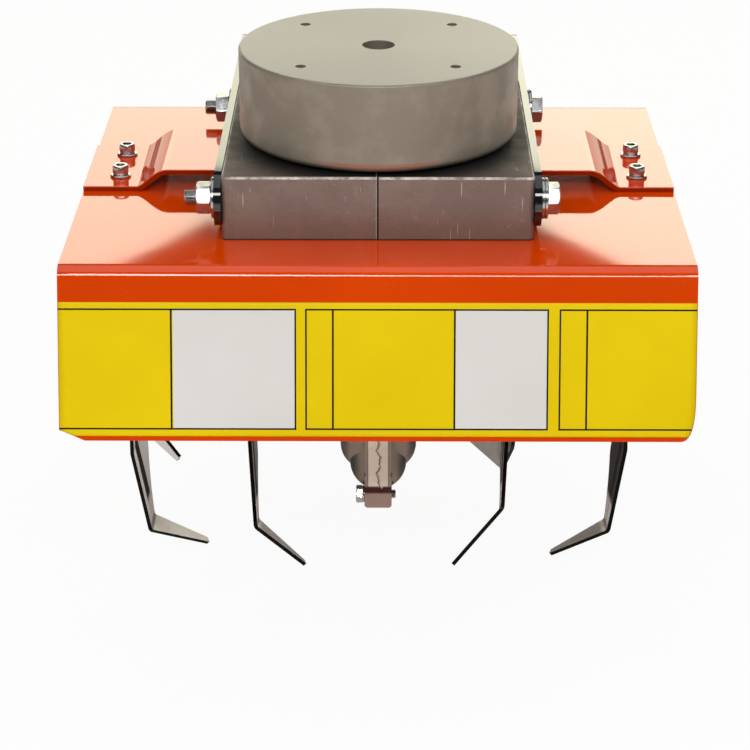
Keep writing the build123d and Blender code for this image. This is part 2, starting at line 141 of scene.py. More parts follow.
# %% [markdown]
# ## Glowing sheets for the deck's mirror image
# The glossy deck is seen at a grazing angle, so it mirrors what stands far behind the machine, and that is
# why it looks cream on the left and right. A lamp could only give that mirror image a straight edge. A
# glowing sheet can have any outline, so two tall sheets leave a notch between them, where the deck in front
# of the gearbox block is plain orange, and a dim third one fills the room below them.

# %% Glowing sheets
BEHIND = 1.75
WARM = (1.0, 0.97, 0.75)
GLOW_FOOT = -0.15
GLOW_SPLIT = 0.32
GLOW_MIDDLE = 0.572
GLOW_TOP = 1.15
GLOW_SIDE = 1.3
NOTCH_LEFT = -0.25
NOTCH_RIGHT = 0.21
LEFT_OUTLINE = (
    (0.0, GLOW_SPLIT),
    (0.0, GLOW_MIDDLE),
    (NOTCH_LEFT, GLOW_MIDDLE),
    (-GLOW_SIDE, GLOW_TOP),
    (-GLOW_SIDE, GLOW_SPLIT),
)
RIGHT_OUTLINE = (
    (0.0, GLOW_SPLIT),
    (GLOW_SIDE, GLOW_SPLIT),
    (GLOW_SIDE, GLOW_TOP),
    (NOTCH_RIGHT, GLOW_MIDDLE),
    (0.0, GLOW_MIDDLE),
)
LOW_OUTLINE = (
    (-GLOW_SIDE, GLOW_FOOT),
    (GLOW_SIDE, GLOW_FOOT),
    (GLOW_SIDE, GLOW_SPLIT),
    (-GLOW_SIDE, GLOW_SPLIT),
)


def rear_glow(name, outline, radiance):
    """A warm glowing sheet behind the head, from an outline of (x, z) points. The camera does not see it."""
    mesh = bpy.data.meshes.new(name)
    mesh.from_pydata([(x, BEHIND, z) for x, z in outline], [], [tuple(range(len(outline)))])
    material = bpy.data.materials.new(name)
    material.use_nodes = True
    tree = material.node_tree
    tree.nodes.clear()
    glow = tree.nodes.new("ShaderNodeEmission")
    glow.inputs["Color"].default_value = (*WARM, 1.0)
    glow.inputs["Strength"].default_value = radiance
    output = tree.nodes.new("ShaderNodeOutputMaterial")
    tree.links.new(glow.outputs["Emission"], output.inputs["Surface"])
    mesh.materials.append(material)
    sheet = stand(name, mesh)
    sheet.visible_camera = False


rear_glow("rear_glow_left", LEFT_OUTLINE, radiance=3.0)
rear_glow("rear_glow_right", RIGHT_OUTLINE, radiance=3.5)
rear_glow("rear_glow_low", LOW_OUTLINE, radiance=1.1)
print("glowing sheets at", BEHIND, "m, notch", round(NOTCH_RIGHT - NOTCH_LEFT, 2), "m wide")

# %% [markdown]
# ## Shader arithmetic
# A material is easier to read as a formula than as a wall of nodes. `Wire` wraps one output socket, and the
# Python operators on it add Math nodes. `Finish` is one material: its `node` method adds any other node, with
# settings first and sockets after. Colours go through Mix nodes, because a Math node would turn them grey.

# %% One socket as a number
class Wire:
    """One output socket of a finish. Arithmetic on wires and numbers adds Math nodes."""

    def __init__(self, finish, socket):
        self.finish = finish
        self.socket = socket

    def math(self, operation, *values):
        """A Math node with the given operation. The values go into its sockets in order."""
        return self.finish.node("ShaderNodeMath", {"operation": operation}, dict(enumerate(values)))

    def __add__(self, other):
        return self.math("ADD", self, other)

    __radd__ = __add__

    def __sub__(self, other):
        return self.math("SUBTRACT", self, other)

    def __rsub__(self, other):
        return self.math("SUBTRACT", other, self)

    def __mul__(self, other):
        return self.math("MULTIPLY", self, other)

    __rmul__ = __mul__

    def __truediv__(self, other):
        return self.math("DIVIDE", self, other)

    def power(self, exponent):
        return self.math("POWER", self, exponent)

    def size(self):
        return self.math("ABSOLUTE", self)

    def sine(self):
        return self.math("SINE", self)

    def cosine(self):
        return self.math("COSINE", self)

    def least(self, other):
        return self.math("MINIMUM", self, other)

    def most(self, other):
        return self.math("MAXIMUM", self, other)

    def angle_from(self, other):
        """The angle whose tangent is this value over the other, in all four quarters."""
        return self.math("ARCTAN2", self, other)

    def wrapped(self, low, high):
        """The value brought into low..high by whole turns of that width."""
        return self.math("WRAP", self, high, low)

    def rise(self, low, high):
        """0 below low, 1 above high and a smooth step between. With low above high it falls instead."""
        settings = {"interpolation_type": "SMOOTHSTEP"}
        values = {"Value": self, "From Min": min(low, high), "From Max": max(low, high)}
        step = self.finish.node("ShaderNodeMapRange", settings, values)
        return step if low < high else 1 - step

    def between(self, low, high, soft):
        """1 inside low..high with edges that are soft wide, 0 outside."""
        return self.rise(low - soft, low) * self.rise(high + soft, high)


print("wires are ready")

# %% One material as formulas
class Finish:
    """One material, built node by node."""

    def __init__(self, name):
        self.material = bpy.data.materials.new(name)
        self.material.use_nodes = True
        self.tree = self.material.node_tree
        self.tree.nodes.clear()
        self.place = self.node("ShaderNodeTexCoord", {}, {}, "Object")
        self.axes = {}

    def node(self, kind, settings, sockets, output=0):
        """Any node: settings are set first, then each socket gets a link or a value. Returns one output."""
        made = self.tree.nodes.new(kind)
        for key, value in settings.items():
            setattr(made, key, value)
        for key, value in sockets.items():
            if isinstance(value, Wire):
                self.tree.links.new(value.socket, made.inputs[key])
            else:
                made.inputs[key].default_value = value
        return Wire(self, made.outputs[output])

    def split(self, vector):
        """The X, Y and Z of a vector, as three wires."""
        node = self.node("ShaderNodeSeparateXYZ", {}, {"Vector": vector}).socket.node
        return [Wire(self, node.outputs[letter]) for letter in "XYZ"]

    def along(self, axis):
        """The object coordinate along X, Y or Z, in metres."""
        if not self.axes:
            self.axes = dict(zip("XYZ", self.split(self.place)))
        return self.axes[axis]

    def facing(self):
        """The object-space normal's X, Y and Z."""
        return self.split(self.node("ShaderNodeTexCoord", {}, {}, "Normal"))

    def squeezed(self, scale, turn=(0.0, 0.0, 0.0)):
        """Object coordinates turned and scaled differently along each axis, for streaky patterns."""
        sockets = {"Vector": self.place, "Scale": scale, "Rotation": turn}
        return self.node("ShaderNodeMapping", {}, sockets)

    def noise(self, scale, detail=4.0, roughness=0.5, vector=None):
        """Soft noise about 0.5, with scale waves to the metre."""
        sockets = {"Vector": vector or self.place, "Scale": scale, "Detail": detail, "Roughness": roughness}
        return self.node("ShaderNodeTexNoise", {}, sockets)

    def cells(self, scale, vector=None):
        """Distance to the nearest of many scattered points, in the pattern's own units."""
        return self.node("ShaderNodeTexVoronoi", {}, {"Vector": vector or self.place, "Scale": scale})

    def mix(self, factor, first, second):
        """A colour between two colours."""
        sockets = {0: factor, 6: self.colour(first), 7: self.colour(second)}
        return self.node("ShaderNodeMix", {"data_type": "RGBA"}, sockets, 2)

    def over(self, tone, *layers):
        """Colours laid over a tone, one after another. Each layer is a mask and its colour."""
        for mask, colour in layers:
            tone = self.mix(mask, tone, colour)
        return tone

    @staticmethod
    def colour(value):
        """A wire as it is, or red, green and blue with an alpha of 1."""
        return value if isinstance(value, Wire) else (*value, 1.0)

    def bump(self, height, distance, strength, under=None):
        """A normal bent by a height that is distance metres deep, over another bent normal where given."""
        sockets = {"Height": height, "Distance": distance, "Strength": strength}
        if under is not None:
            sockets["Normal"] = under
        return self.node("ShaderNodeBump", {}, sockets)

    def close(self, **sockets):
        """Ends the material with one Principled shader. Underscores stand for spaces in the socket names."""
        values = {}
        for key, value in sockets.items():
            values[key.replace("_", " ")] = self.colour(value) if isinstance(value, tuple) else value
        return self.end_with(self.node("ShaderNodeBsdfPrincipled", {}, values))

    def end_with(self, shader):
        """Joins the last shader to the output and gives the finished material."""
        output = self.tree.nodes.new("ShaderNodeOutputMaterial")
        self.tree.links.new(shader.socket, output.inputs["Surface"])
        return self.material


print("finishes are ready")

# %% [markdown]
# ## Floor and backdrop
# A white picture background must not come from more light on the machine. The floor is a pale matt surface
# that keeps the machine's faint shadow, and for the camera alone most of it glows, which lifts it to paper
# white. The world does the same: plain white for the camera, and a quieter soft white for the light that it
# sheds. In mirror images it is darker still, like a dim room behind the camera, or the gloss would turn
# milky.

# %% Floor
FLOOR_DROP = 0.012
FLOOR_HALF = 6.0
FLOOR_GLOW = 0.93
FLOOR_GREY = (0.86, 0.86, 0.86, 1.0)
WHITE = (1.0, 1.0, 1.0, 1.0)

floor_level = cad_box[0][2] - FLOOR_DROP
floor_mesh = bpy.data.meshes.new("studio_floor")
floor_signs = ((-1, -1), (1, -1), (1, 1), (-1, 1))
floor_corners = [(x * FLOOR_HALF, y * FLOOR_HALF, floor_level) for x, y in floor_signs]
floor_mesh.from_pydata(floor_corners, [], [(0, 1, 2, 3)])
stand("studio_floor", floor_mesh)

paper = Finish("floor_paper")
matt = paper.node("ShaderNodeBsdfDiffuse", {}, {"Color": FLOOR_GREY})
glow = paper.node("ShaderNodeEmission", {}, {"Color": WHITE, "Strength": 1.0})
seen = paper.node("ShaderNodeLightPath", {}, {}, "Is Camera Ray")
blend = paper.node("ShaderNodeMixShader", {}, {0: seen * FLOOR_GLOW, 1: matt, 2: glow})
floor_mesh.materials.append(paper.end_with(blend))
print("floor at", round(floor_level, 4))

# %% World
WORLD_LIGHT = 0.34
WORLD_IN_GLOSS = 0.02
WORLD_SEEN = 1.0

world = bpy.data.worlds.new("studio_air")
world.use_nodes = True
bpy.context.scene.world = world
air = world.node_tree
rays = air.nodes.new("ShaderNodeLightPath")
in_gloss = air.nodes.new("ShaderNodeMix")
in_gloss.inputs["A"].default_value = WORLD_LIGHT
in_gloss.inputs["B"].default_value = WORLD_IN_GLOSS
air.links.new(rays.outputs["Is Glossy Ray"], in_gloss.inputs["Factor"])
in_view = air.nodes.new("ShaderNodeMix")
in_view.inputs["B"].default_value = WORLD_SEEN
air.links.new(in_gloss.outputs["Result"], in_view.inputs["A"])
air.links.new(rays.outputs["Is Camera Ray"], in_view.inputs["Factor"])
background = air.nodes["Background"]
background.inputs["Color"].default_value = WHITE
air.links.new(in_view.outputs["Result"], background.inputs["Strength"])
print("world light", WORLD_LIGHT, "and", WORLD_IN_GLOSS, "in mirror images")

# %% [markdown]
# ## Paint
# The hood is powder coated orange under a thick clear gloss. The body colour is soft and even, and the gloss
# is a coat layer with a high index, so that it mirrors strongly at a grazing angle. The real sheet shows a
# little orange peel and a few dust specks on the deck. The brackets, the side plates and the hubs have the
# same kind of paint in other colours, and on the brackets' upright faces the red is darkened as painted
# shade.

# %% Paint
ORANGE = (0.72, 0.059, 0.0005)
ORANGE_DEEP = (0.65, 0.050, 0.0005)
RED_ORANGE = (0.68, 0.048, 0.001)
RED_ORANGE_DEEP = (0.60, 0.040, 0.001)
PLATE_BLACK = (0.012, 0.012, 0.013)
PLATE_BLACK_DEEP = (0.007, 0.007, 0.008)
HUB_BLACK = (0.022, 0.021, 0.021)
HUB_BLACK_DEEP = (0.012, 0.012, 0.012)
DUST = (0.86, 0.42, 0.26)
UPRIGHT_SHADE_DEPTH = 0.35
PEEL_DEPTH = 0.00002
RIPPLE_DEPTH = 0.0006


def glossy_paint(name, body, deep, coat_ior, edge_shade=0.0):
    """Sprayed paint: two close tones in slow clouds, dust specks that dull it, a fine orange-peel bump."""
    paint = Finish(name)
    clouds = paint.noise(9.0, detail=3.0).rise(0.35, 0.7)
    dusty = paint.noise(35.0, detail=2.0).rise(0.55, 0.72)
    specks = paint.cells(420.0).rise(0.12, 0.05) * dusty
    # Painted shade: where edge_shade is above 0, upright faces are darkened towards the deep tone.
    shaded_upright = paint.facing()[2].size().rise(0.5, 0.1)
    shade = tuple(UPRIGHT_SHADE_DEPTH * channel for channel in deep)
    tone = paint.over(paint.mix(clouds, deep, body), (specks * 0.35, DUST), (shaded_upright * edge_shade, shade))
    ripple = paint.bump(paint.noise(42.0, detail=2.0), RIPPLE_DEPTH, strength=0.06)
    peel = paint.bump(paint.noise(520.0, detail=2.0), PEEL_DEPTH, strength=0.25, under=ripple)
    return paint.close(
        Base_Color=tone,
        Roughness=0.34 + specks * 0.3,
        Normal=peel,
        Coat_Weight=1.0 - specks * 0.5,
        Coat_Roughness=0.05,
        Coat_IOR=coat_ior,
        Specular_IOR_Level=0.0,
    )


hood_paint = glossy_paint("hood_paint", ORANGE, ORANGE_DEEP, coat_ior=1.7)
bracket_paint = glossy_paint("bracket_paint", RED_ORANGE, RED_ORANGE_DEEP, coat_ior=1.7, edge_shade=0.9)
plate_paint = glossy_paint("plate_paint", PLATE_BLACK, PLATE_BLACK_DEEP, coat_ior=1.75)
hub_paint = glossy_paint("hub_paint", HUB_BLACK, HUB_BLACK_DEEP, coat_ior=1.45)
print("paints:", [paint.name for paint in (hood_paint, bracket_paint, plate_paint, hub_paint)])

# %% [markdown]
# ## Castings
# The gearbox block and the leg under it are one sand casting with a grey-brown, slightly dirty skin: a fine
# pitted grain, wide clouds of tone, and short pale scratches where it was handled. A scratch is the core of
# one cell of a cell pattern, stretched until it is a needle, at three slants, and a noise says where there
# are any. The drive housing is a smoother die casting, a little more olive. Both are metal, but a dusty one,
# so the skin is rough and only half metallic.

# %% Cast skin
NEEDLE_WIDTH = 0.0024
NEEDLE_LENGTH = 0.045
NEEDLE_SLANTS = (0.35, -0.5, 1.45)
SCRATCH = (0.62, 0.56, 0.49)
GRIME_DEPTH = 0.65


def scratch_mask(skin):
    """Needles at three slants: 1 near the core of a stretched cell, in the patches that a noise picks out."""
    scratches = 0.0
    scale = (1 / NEEDLE_WIDTH, 1 / NEEDLE_LENGTH, 1 / NEEDLE_LENGTH)
    for slant in NEEDLE_SLANTS:
        needles = skin.cells(1.0, skin.squeezed(scale, turn=(0.0, slant, 0.0))).rise(0.13, 0.06)
        patches = skin.noise(31.0 + 9.0 * slant, detail=2.0).rise(0.53, 0.57)
        scratches = scratches + needles * patches
    return scratches.least(1.0)


def cast_metal(name, light, dark, grain_scale, grain_depth, roughness, metallic, scuffs, details):
    """Cast aluminium: clouds between two tones, grime, scratches, pits and the casting's own details."""
    skin = Finish(name)
    clouds = skin.noise(9.0, detail=3.0, roughness=0.55).rise(0.25, 0.8)
    grime = skin.noise(55.0, roughness=0.65).rise(0.62, 0.42)
    scratches = scratch_mask(skin) * scuffs
    grime_tone = tuple(GRIME_DEPTH * channel for channel in dark)
    tone = skin.over(skin.mix(clouds, dark, light), (grime * 0.22, grime_tone), (scratches, SCRATCH))
    pores = skin.cells(grain_scale * 0.8).rise(0.30, 0.08)
    height = skin.noise(grain_scale, detail=5.0, roughness=0.65) - pores * 0.5
    rough = roughness + grime * 0.12 - scratches * 0.2
    tone, rough, height = details(skin, tone, rough, height)
    normal = skin.bump(height, grain_depth, strength=0.8)
    return skin.close(Base_Color=tone, Roughness=rough, Metallic=metallic, Normal=normal)


def from_housing(skin):
    """Distance from the axis of the drive housing, which is the line x = y = 0."""
    x, y = skin.along("X"), skin.along("Y")
    return (x * x + y * y).power(0.5)


print("cast skin is ready")

# %% [markdown]
# ## What time and use did to the gearbox, and the light painted on it
# The block's edges are worn, and where they tilt upwards they carry a painted highlight too. Its top is
# darkened as painted shade, darkest in a painted shadow where the round housing shades it, and painted
# orange light from the deck warms its foot, above a thin painted shadow along the deck. The two halves meet
# in a fine dark joint with a painted highlight on its left lip. Down the leg the joint's strip was ground
# bare, with painted shade in a groove along each side, and the leg's sides carry a painted dark reflection.
# The lug at the strip's foot carries a painted pink reflection of the hood, and across its top a painted
# shade tinted red. Each of these is a mask times a colour, laid over the skin in turn, so the list of layers
# below can be read like a painter's notes.

# %% The gearbox
SOFT = 0.001
SEAM_STRIP = 0.0080
STRIP_FOOT = DECK_TOP - 0.1955
STRIP_GROOVE = 0.0071
GROOVE_HALF = 0.0004
LUG_SIDE = 0.0100
LUG_SHADE = 0.0050
JOINT_HALF = 0.00038
JOINT_HIGHLIGHT_EDGE = -0.0010
LEG_START = DECK_TOP - 0.10
LEG_FULL = DECK_TOP - 0.12
WARM_HEIGHT = 0.026
SHADOW_FULL_RADIUS = 0.086
SHADOW_END_RADIUS = 0.112
LEG_TONE = (0.43, 0.345, 0.275)
LEG_SIDE_DARK_REFLECTION = (0.022, 0.018, 0.015)
WORN_EDGE_HIGHLIGHT = (0.74, 0.68, 0.62)
RUBBED_SKIN = (0.50, 0.43, 0.37)
TOP_SHADE = (0.050, 0.044, 0.042)
HOUSING_SHADOW_TONE = (0.010, 0.009, 0.009)
WARM_TONE = (0.215, 0.100, 0.070)
BARE_DULL = (0.86, 0.74, 0.60)
BARE_BRIGHT = (0.97, 0.88, 0.74)
GROOVE_SHADE = (0.06, 0.045, 0.038)
LUG_REFLECTION_TONE = (0.43, 0.295, 0.235)
LUG_TOP_SHADE = (0.060, 0.006, 0.004)
JOINT_HIGHLIGHT_TONE = (0.60, 0.52, 0.45)
JOINT_TONE = (0.006, 0.005, 0.004)
BLOCK_FOOT_SHADOW = (0.010, 0.007, 0.006)


def gearbox_details(skin, tone, rough, height):
    """Masks from height, distance from the joint and the way a face looks, each with its colour."""
    look_x, _, look_z = skin.facing()
    side = skin.along("X").size()
    level = skin.along("Z")
    below = level.rise(DECK_TOP - SOFT, DECK_TOP - 4 * SOFT)
    block = 1 - below
    leg = level.rise(LEG_START, LEG_FULL)
    # Painted dark reflection: the leg's faces that look left or right are darkened.
    leg_side_dark_reflection = look_x.size().rise(0.55, 0.92) * leg
    # Worn edges with a painted highlight: faces that tilt upwards are lightened in ragged patches.
    ragged = skin.noise(70.0, roughness=0.7).rise(0.38, 0.62)
    edge = look_z.between(0.30, 0.80, 0.15) * block * ragged
    flecks = skin.noise(130.0, detail=5.0, roughness=0.75).rise(0.58, 0.68)
    rubbed = flecks * skin.noise(17.0, detail=2.0).rise(0.48, 0.60) * block
    # Painted shade: the whole top face of the block is darkened.
    top = look_z.rise(0.85, 0.99) * block
    # Painted shadow of the housing: the top darkens towards the housing's axis.
    housing_shadow = from_housing(skin).rise(SHADOW_END_RADIUS, SHADOW_FULL_RADIUS) * top
    warm = level.rise(DECK_TOP + WARM_HEIGHT, DECK_TOP) * block
    strip = side.rise(SEAM_STRIP + 0.0003, SEAM_STRIP - 0.0004) * below
    strip = strip * level.rise(STRIP_FOOT - SOFT, STRIP_FOOT)
    bare = skin.mix(skin.noise(50.0, detail=3.0).rise(0.3, 0.7), BARE_DULL, BARE_BRIGHT)
    # Painted shade in a groove along each side of the bare strip.
    groove = side.between(STRIP_GROOVE - GROOVE_HALF, STRIP_GROOVE + GROOVE_HALF, 0.0006) * strip
    # The lug is lightened with a painted pink reflection of the hood.
    lug_width = side.rise(LUG_SIDE + SOFT / 2, LUG_SIDE - SOFT / 2)
    lug = level.rise(STRIP_FOOT + SOFT, STRIP_FOOT - SOFT) * lug_width
    # Painted shade, tinted red by the hood's reflection, across the top of the lug.
    stain = lug * level.rise(STRIP_FOOT - LUG_SHADE - SOFT, STRIP_FOOT - LUG_SHADE + SOFT)
    # Painted highlight: a light line on the left lip of the joint.
    joint_highlight = skin.along("X").between(JOINT_HIGHLIGHT_EDGE, -JOINT_HALF, 0.0003) * block
    joint = side.rise(JOINT_HALF * 1.6, JOINT_HALF) * block
    # Painted shadow: a thin dark line at the block's foot, where it meets the deck.
    block_foot_shadow = level.rise(DECK_TOP + 0.0012, DECK_TOP + 0.0005) * block
    tone = skin.over(
        tone,
        (leg * 0.6, LEG_TONE),
        (leg_side_dark_reflection * 0.93, LEG_SIDE_DARK_REFLECTION),
        (edge * 0.85, WORN_EDGE_HIGHLIGHT),
        (rubbed * 0.38, RUBBED_SKIN),
        (top * 0.55, TOP_SHADE),
        (housing_shadow * 0.9, HOUSING_SHADOW_TONE),
        (warm * 0.45, WARM_TONE),
        (strip, bare),
        (groove * 0.75, GROOVE_SHADE),
        (lug * 0.8, LUG_REFLECTION_TONE),
        (stain, LUG_TOP_SHADE),
        (joint_highlight * 0.4, JOINT_HIGHLIGHT_TONE),
        (joint, JOINT_TONE),
        (block_foot_shadow * 0.9, BLOCK_FOOT_SHADOW),
    )
    return tone, rough + joint * 0.4 - edge * 0.1, height - joint * 0.3


gearbox_skin = cast_metal(
    "gearbox_casting",
    light=(0.300, 0.225, 0.186),
    dark=(0.240, 0.178, 0.148),
    grain_scale=620.0,
    grain_depth=0.00035,
    roughness=0.48,
    metallic=0.35,
    scuffs=0.9,
    details=gearbox_details,
)
print("joint", round(2000 * JOINT_HALF, 2), "mm wide, ground strip", round(2000 * SEAM_STRIP), "mm wide")

# %% [markdown]
# ## The drive housing
# Its top is the flange for the engine, faced in a lathe: brighter and smoother, with fine rings that are a
# sine of the distance from the axis. The lower rim lies in its own shade, and just above it the front catches
# a warm light from the deck.

# %% The drive housing
HOUSING_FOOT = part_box("gearbox_half_left")[1].z
RINGS_PER_METRE = 9000.0
FACED_METAL = (0.44, 0.42, 0.39)
FLUSH_TONE = (0.36, 0.150, 0.085)
RIM_TONE = (0.020, 0.013, 0.010)


def flange_finish(skin, tone, rough, height):
    """A faced top, and a rim whose shade ends 5 mm above the foot, with a warm flush at the front."""
    faced = skin.facing()[2].rise(0.9, 0.98) * skin.along("Z").rise(-0.001, -0.0002)
    rings = (from_housing(skin) * RINGS_PER_METRE).sine()
    above_rim = skin.along("Z") - HOUSING_FOOT
    front = skin.facing()[1].rise(-0.85, -0.97)
    flush = above_rim.between(0.0030, 0.0055, 0.0012) * front
    rim = above_rim.rise(0.0050, 0.0005)
    tone = skin.over(
        tone,
        (faced * 0.94, FACED_METAL),
        (flush * 0.75, FLUSH_TONE),
        (rim * (0.93 - front * 0.25), RIM_TONE),
    )
    height = height * (1 - faced * 0.9) + rings * faced * 0.12
    return tone, rough * (1 - faced) + faced * 0.36, height


housing_skin = cast_metal(
    "housing_casting",
    light=(0.345, 0.295, 0.230),
    dark=(0.310, 0.262, 0.203),
    grain_scale=900.0,
    grain_depth=0.00010,
    roughness=0.36,
    metallic=0.55,
    scuffs=0.0,
    details=flange_finish,
)
print("housing stands at", round(HOUSING_FOOT, 4))

# %% [markdown]
# ## Bright steel
# The fasteners are zinc plated and the axle is turned steel. Both are plain metals with a cloudy tone and a
# slightly uneven gloss. The weld beads share the same recipe, only darker.

# %% Zinc, turned steel and weld metal
POLISH_DEPTH = 0.00004


def plated_steel(name, tone, stain, roughness):
    """Plated steel: cloudy tone, slightly uneven gloss."""
    plate = Finish(name)
    clouds = plate.noise(160.0, detail=3.0).rise(0.35, 0.75)
    return plate.close(
        Base_Color=plate.mix(clouds, stain, tone),
        Roughness=roughness + plate.noise(240.0, detail=2.0) * 0.14,
        Metallic=1.0,
        Normal=plate.bump(plate.noise(900.0, detail=2.0), POLISH_DEPTH, strength=0.35),
    )


zinc = plated_steel("zinc_plate", tone=(0.66, 0.665, 0.67), stain=(0.47, 0.465, 0.46), roughness=0.16)
weld_steel = plated_steel("weld_steel", tone=(0.16, 0.15, 0.15), stain=(0.07, 0.065, 0.065), roughness=0.36)
turned_steel = plated_steel("turned_steel", tone=(0.44, 0.43, 0.42), stain=(0.28, 0.27, 0.26), roughness=0.24)
print("steels:", [steel.name for steel in (zinc, weld_steel, turned_steel)])

# %% [markdown]
# ## The blades
# The blades are the hard finish. They are polished along their length, and a brown line of broken scale
# marks the bend at the knee. Their light is partly painted: a painted highlight along the front edge, a
# painted reflection that makes the foot bright, and a painted dark reflection on the sawn edge and in a band
# down the shank. Painting that in space would need a mask for each of sixteen arms. Instead the shader turns
# every point into its nearest arm's own two distances, outward from the axle and across the arm, so one
# recipe serves a whole star. Each star only has its own angle, and its own share of painted dark reflection
# and of painted shine on the foot.

# %% Blade steel
axle_low, axle_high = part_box("rotor_axle")
AXLE_Y = (axle_low.y + axle_high.y) / 2
AXLE_Z = (axle_low.z + axle_high.z) / 2
KNEE_REACH = 0.0897
KNEE_OFFSET = -0.0010
KNEE_SKEW = 0.439
ROOT_REACH = 0.032
FRONT_AT_ROOT = -0.0260
FRONT_LEAN = 0.269
WAVE_SIZE = 0.004
STREAK_SCALE = (30.0, 600.0, 600.0)
STEEL_DULL = (0.42, 0.405, 0.39)
STEEL_BRIGHT = (0.60, 0.59, 0.575)
FRONT_HIGHLIGHT = (0.90, 0.89, 0.88)
FOOT_REFLECTION = (0.97, 0.965, 0.945)
STREAK_TONE = (0.30, 0.29, 0.28)
SCALE_BROWN = (0.085, 0.050, 0.035)
BAND_DARK_REFLECTION = (0.016, 0.014, 0.013)
EDGE_DARK_REFLECTION = (0.012, 0.011, 0.010)


def arm_distances(steel, angle):
    """The nearest arm's outward and across distances, from the angle round the axle wrapped to a quarter."""
    y = steel.along("Y") - AXLE_Y
    z = steel.along("Z") - AXLE_Z
    reach = (y * y + z * z).power(0.5)
    turn = (y.angle_from(z * -1.0) - radians(angle)).wrapped(-pi / 4, pi / 4)
    return reach * turn.cosine(), reach * turn.sine()


def blade_finish(star, angle, dark, shine):
    """Polished steel. Each band is a smooth step of the distance past the knee or from the front edge."""
    steel = Finish(f"blade_steel_{star}")
    outward, across = arm_distances(steel, angle)
    wave = (steel.noise(38.0, detail=3.0) - 0.5) * WAVE_SIZE
    from_front = across - (FRONT_AT_ROOT + (outward - ROOT_REACH) * FRONT_LEAN) + wave
    past_knee = outward + (across - KNEE_OFFSET) * KNEE_SKEW - KNEE_REACH
    streaks = steel.noise(1.0, roughness=0.6, vector=steel.squeezed(STREAK_SCALE))
    smears = steel.noise(26.0, roughness=0.6).rise(0.35, 0.7)
    # Painted reflection: the foot is lightened, and made less metallic so that it stays bright.
    foot = past_knee.rise(0.001, 0.005)
    crease = (past_knee + wave * 0.5).between(-0.0012, 0.0008, 0.0012)
    shank = (past_knee + wave).rise(-0.013, -0.019)
    # Painted dark reflection: a band down the shank, and the whole shank by the star's share of dark.
    dark_reflection_band = from_front.between(0.0085, 0.0185, 0.0020) * shank
    black = (dark_reflection_band * 0.97).most(shank * dark)
    # Painted dark reflection on the sawn edges, the faces that do not look along the axle.
    face = steel.facing()[0].size().rise(0.55, 0.70)
    # Painted highlight near the front edge, laid over the polished tone.
    tone = steel.over(
        steel.mix(smears, STEEL_DULL, STEEL_BRIGHT),
        (from_front.rise(0.0085, 0.0055) * 0.7, FRONT_HIGHLIGHT),
        (foot * 0.9, tuple(shine * channel for channel in FOOT_REFLECTION)),
        (streaks.rise(0.5, 0.8) * 0.3, STREAK_TONE),
        (crease * 0.55, SCALE_BROWN),
        (black, BAND_DARK_REFLECTION),
    )
    return steel.close(
        Base_Color=steel.mix(face, EDGE_DARK_REFLECTION, tone),
        Roughness=0.22 + smears * 0.10 + crease * 0.25 + foot * 0.12,
        Metallic=(1.0 - black * 0.96) * (1.0 - foot * 0.6),
        IOR=1.0,
        Normal=steel.bump(streaks, POLISH_DEPTH, strength=0.3),
    )


# Each star's angle, its share of painted dark reflection on the shank and its painted shine on the foot.
STAR_LOOKS = {
    "left_inner": {"angle": -36.0, "dark": 0.70, "shine": 0.45},
    "left_outer": {"angle": -18.0, "dark": 0.00, "shine": 1.00},
    "right_inner": {"angle": -55.0, "dark": 0.75, "shine": 0.80},
    "right_outer": {"angle": -28.0, "dark": 0.93, "shine": 0.35},
}
blade_finishes = {star: blade_finish(star, **look) for star, look in STAR_LOOKS.items()}
print("blade finishes:", len(blade_finishes), "axle at", round(AXLE_Y, 4), round(AXLE_Z, 4))

# %% [markdown]
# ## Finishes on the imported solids
# Each solid gets the finish whose key is the first one that starts its name, so "hood_bracket" comes before
# "hood" and "hub_pin" before "hub".

# %% Dress the solids
FINISH_OF = {
    "hood_bracket": bracket_paint,
    "hood": hood_paint,
    "gearbox": gearbox_skin,
    "drive_housing": housing_skin,
    "housing_cover": housing_skin,
    "side_plate": plate_paint,
    "rotor_axle": turned_steel,
    "hub_pin": zinc,
    "hub": hub_paint,
    **{f"blade_{star}": finish for star, finish in blade_finishes.items()},
    "cross": zinc,
    "seam": zinc,
    "bracket_screw": zinc,
}


def dress(mesh, material):
    """Puts one finish on a whole mesh."""
    mesh.materials.clear()
    mesh.materials.append(material)


for name, node in sorted(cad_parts.items()):
    key = next(start for start in FINISH_OF if name.startswith(start))
    dress(node.data, FINISH_OF[key])
print("dressed", len(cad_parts), "solids")

# %% [markdown]
# ## From a grid of points to a clean mesh
# Every new piece is a surface of two parameters: an array of points in rows and columns. One helper turns
# such a grid into faces, closes it round its columns where asked, welds the poles, turns the faces outwards
# and keeps hard edges hard.

# %% Grid to mesh
WELD_DISTANCE = 1e-6
HARD_ANGLE = 32.0


def grid_faces(rows, columns, wrap):
    """Corner numbers of the quads of a rows x columns grid, closed round the columns where wrap is true."""
    last = columns if wrap else columns - 1
    row, column = np.meshgrid(np.arange(rows - 1), np.arange(last), indexing="ij")
    right = (column + 1) % columns
    corners = [row * columns + column, row * columns + right]
    corners += [(row + 1) * columns + right, (row + 1) * columns + column]
    return np.stack(corners, -1).reshape(-1, 4)


def capped(grid):
    """The grid with one more row at each end, all of it at the end row's middle, to shut the shell."""
    poles = [np.broadcast_to(row.mean(0), row.shape)[None] for row in (grid[0], grid[-1])]
    return np.concatenate([poles[0], grid, poles[1]])


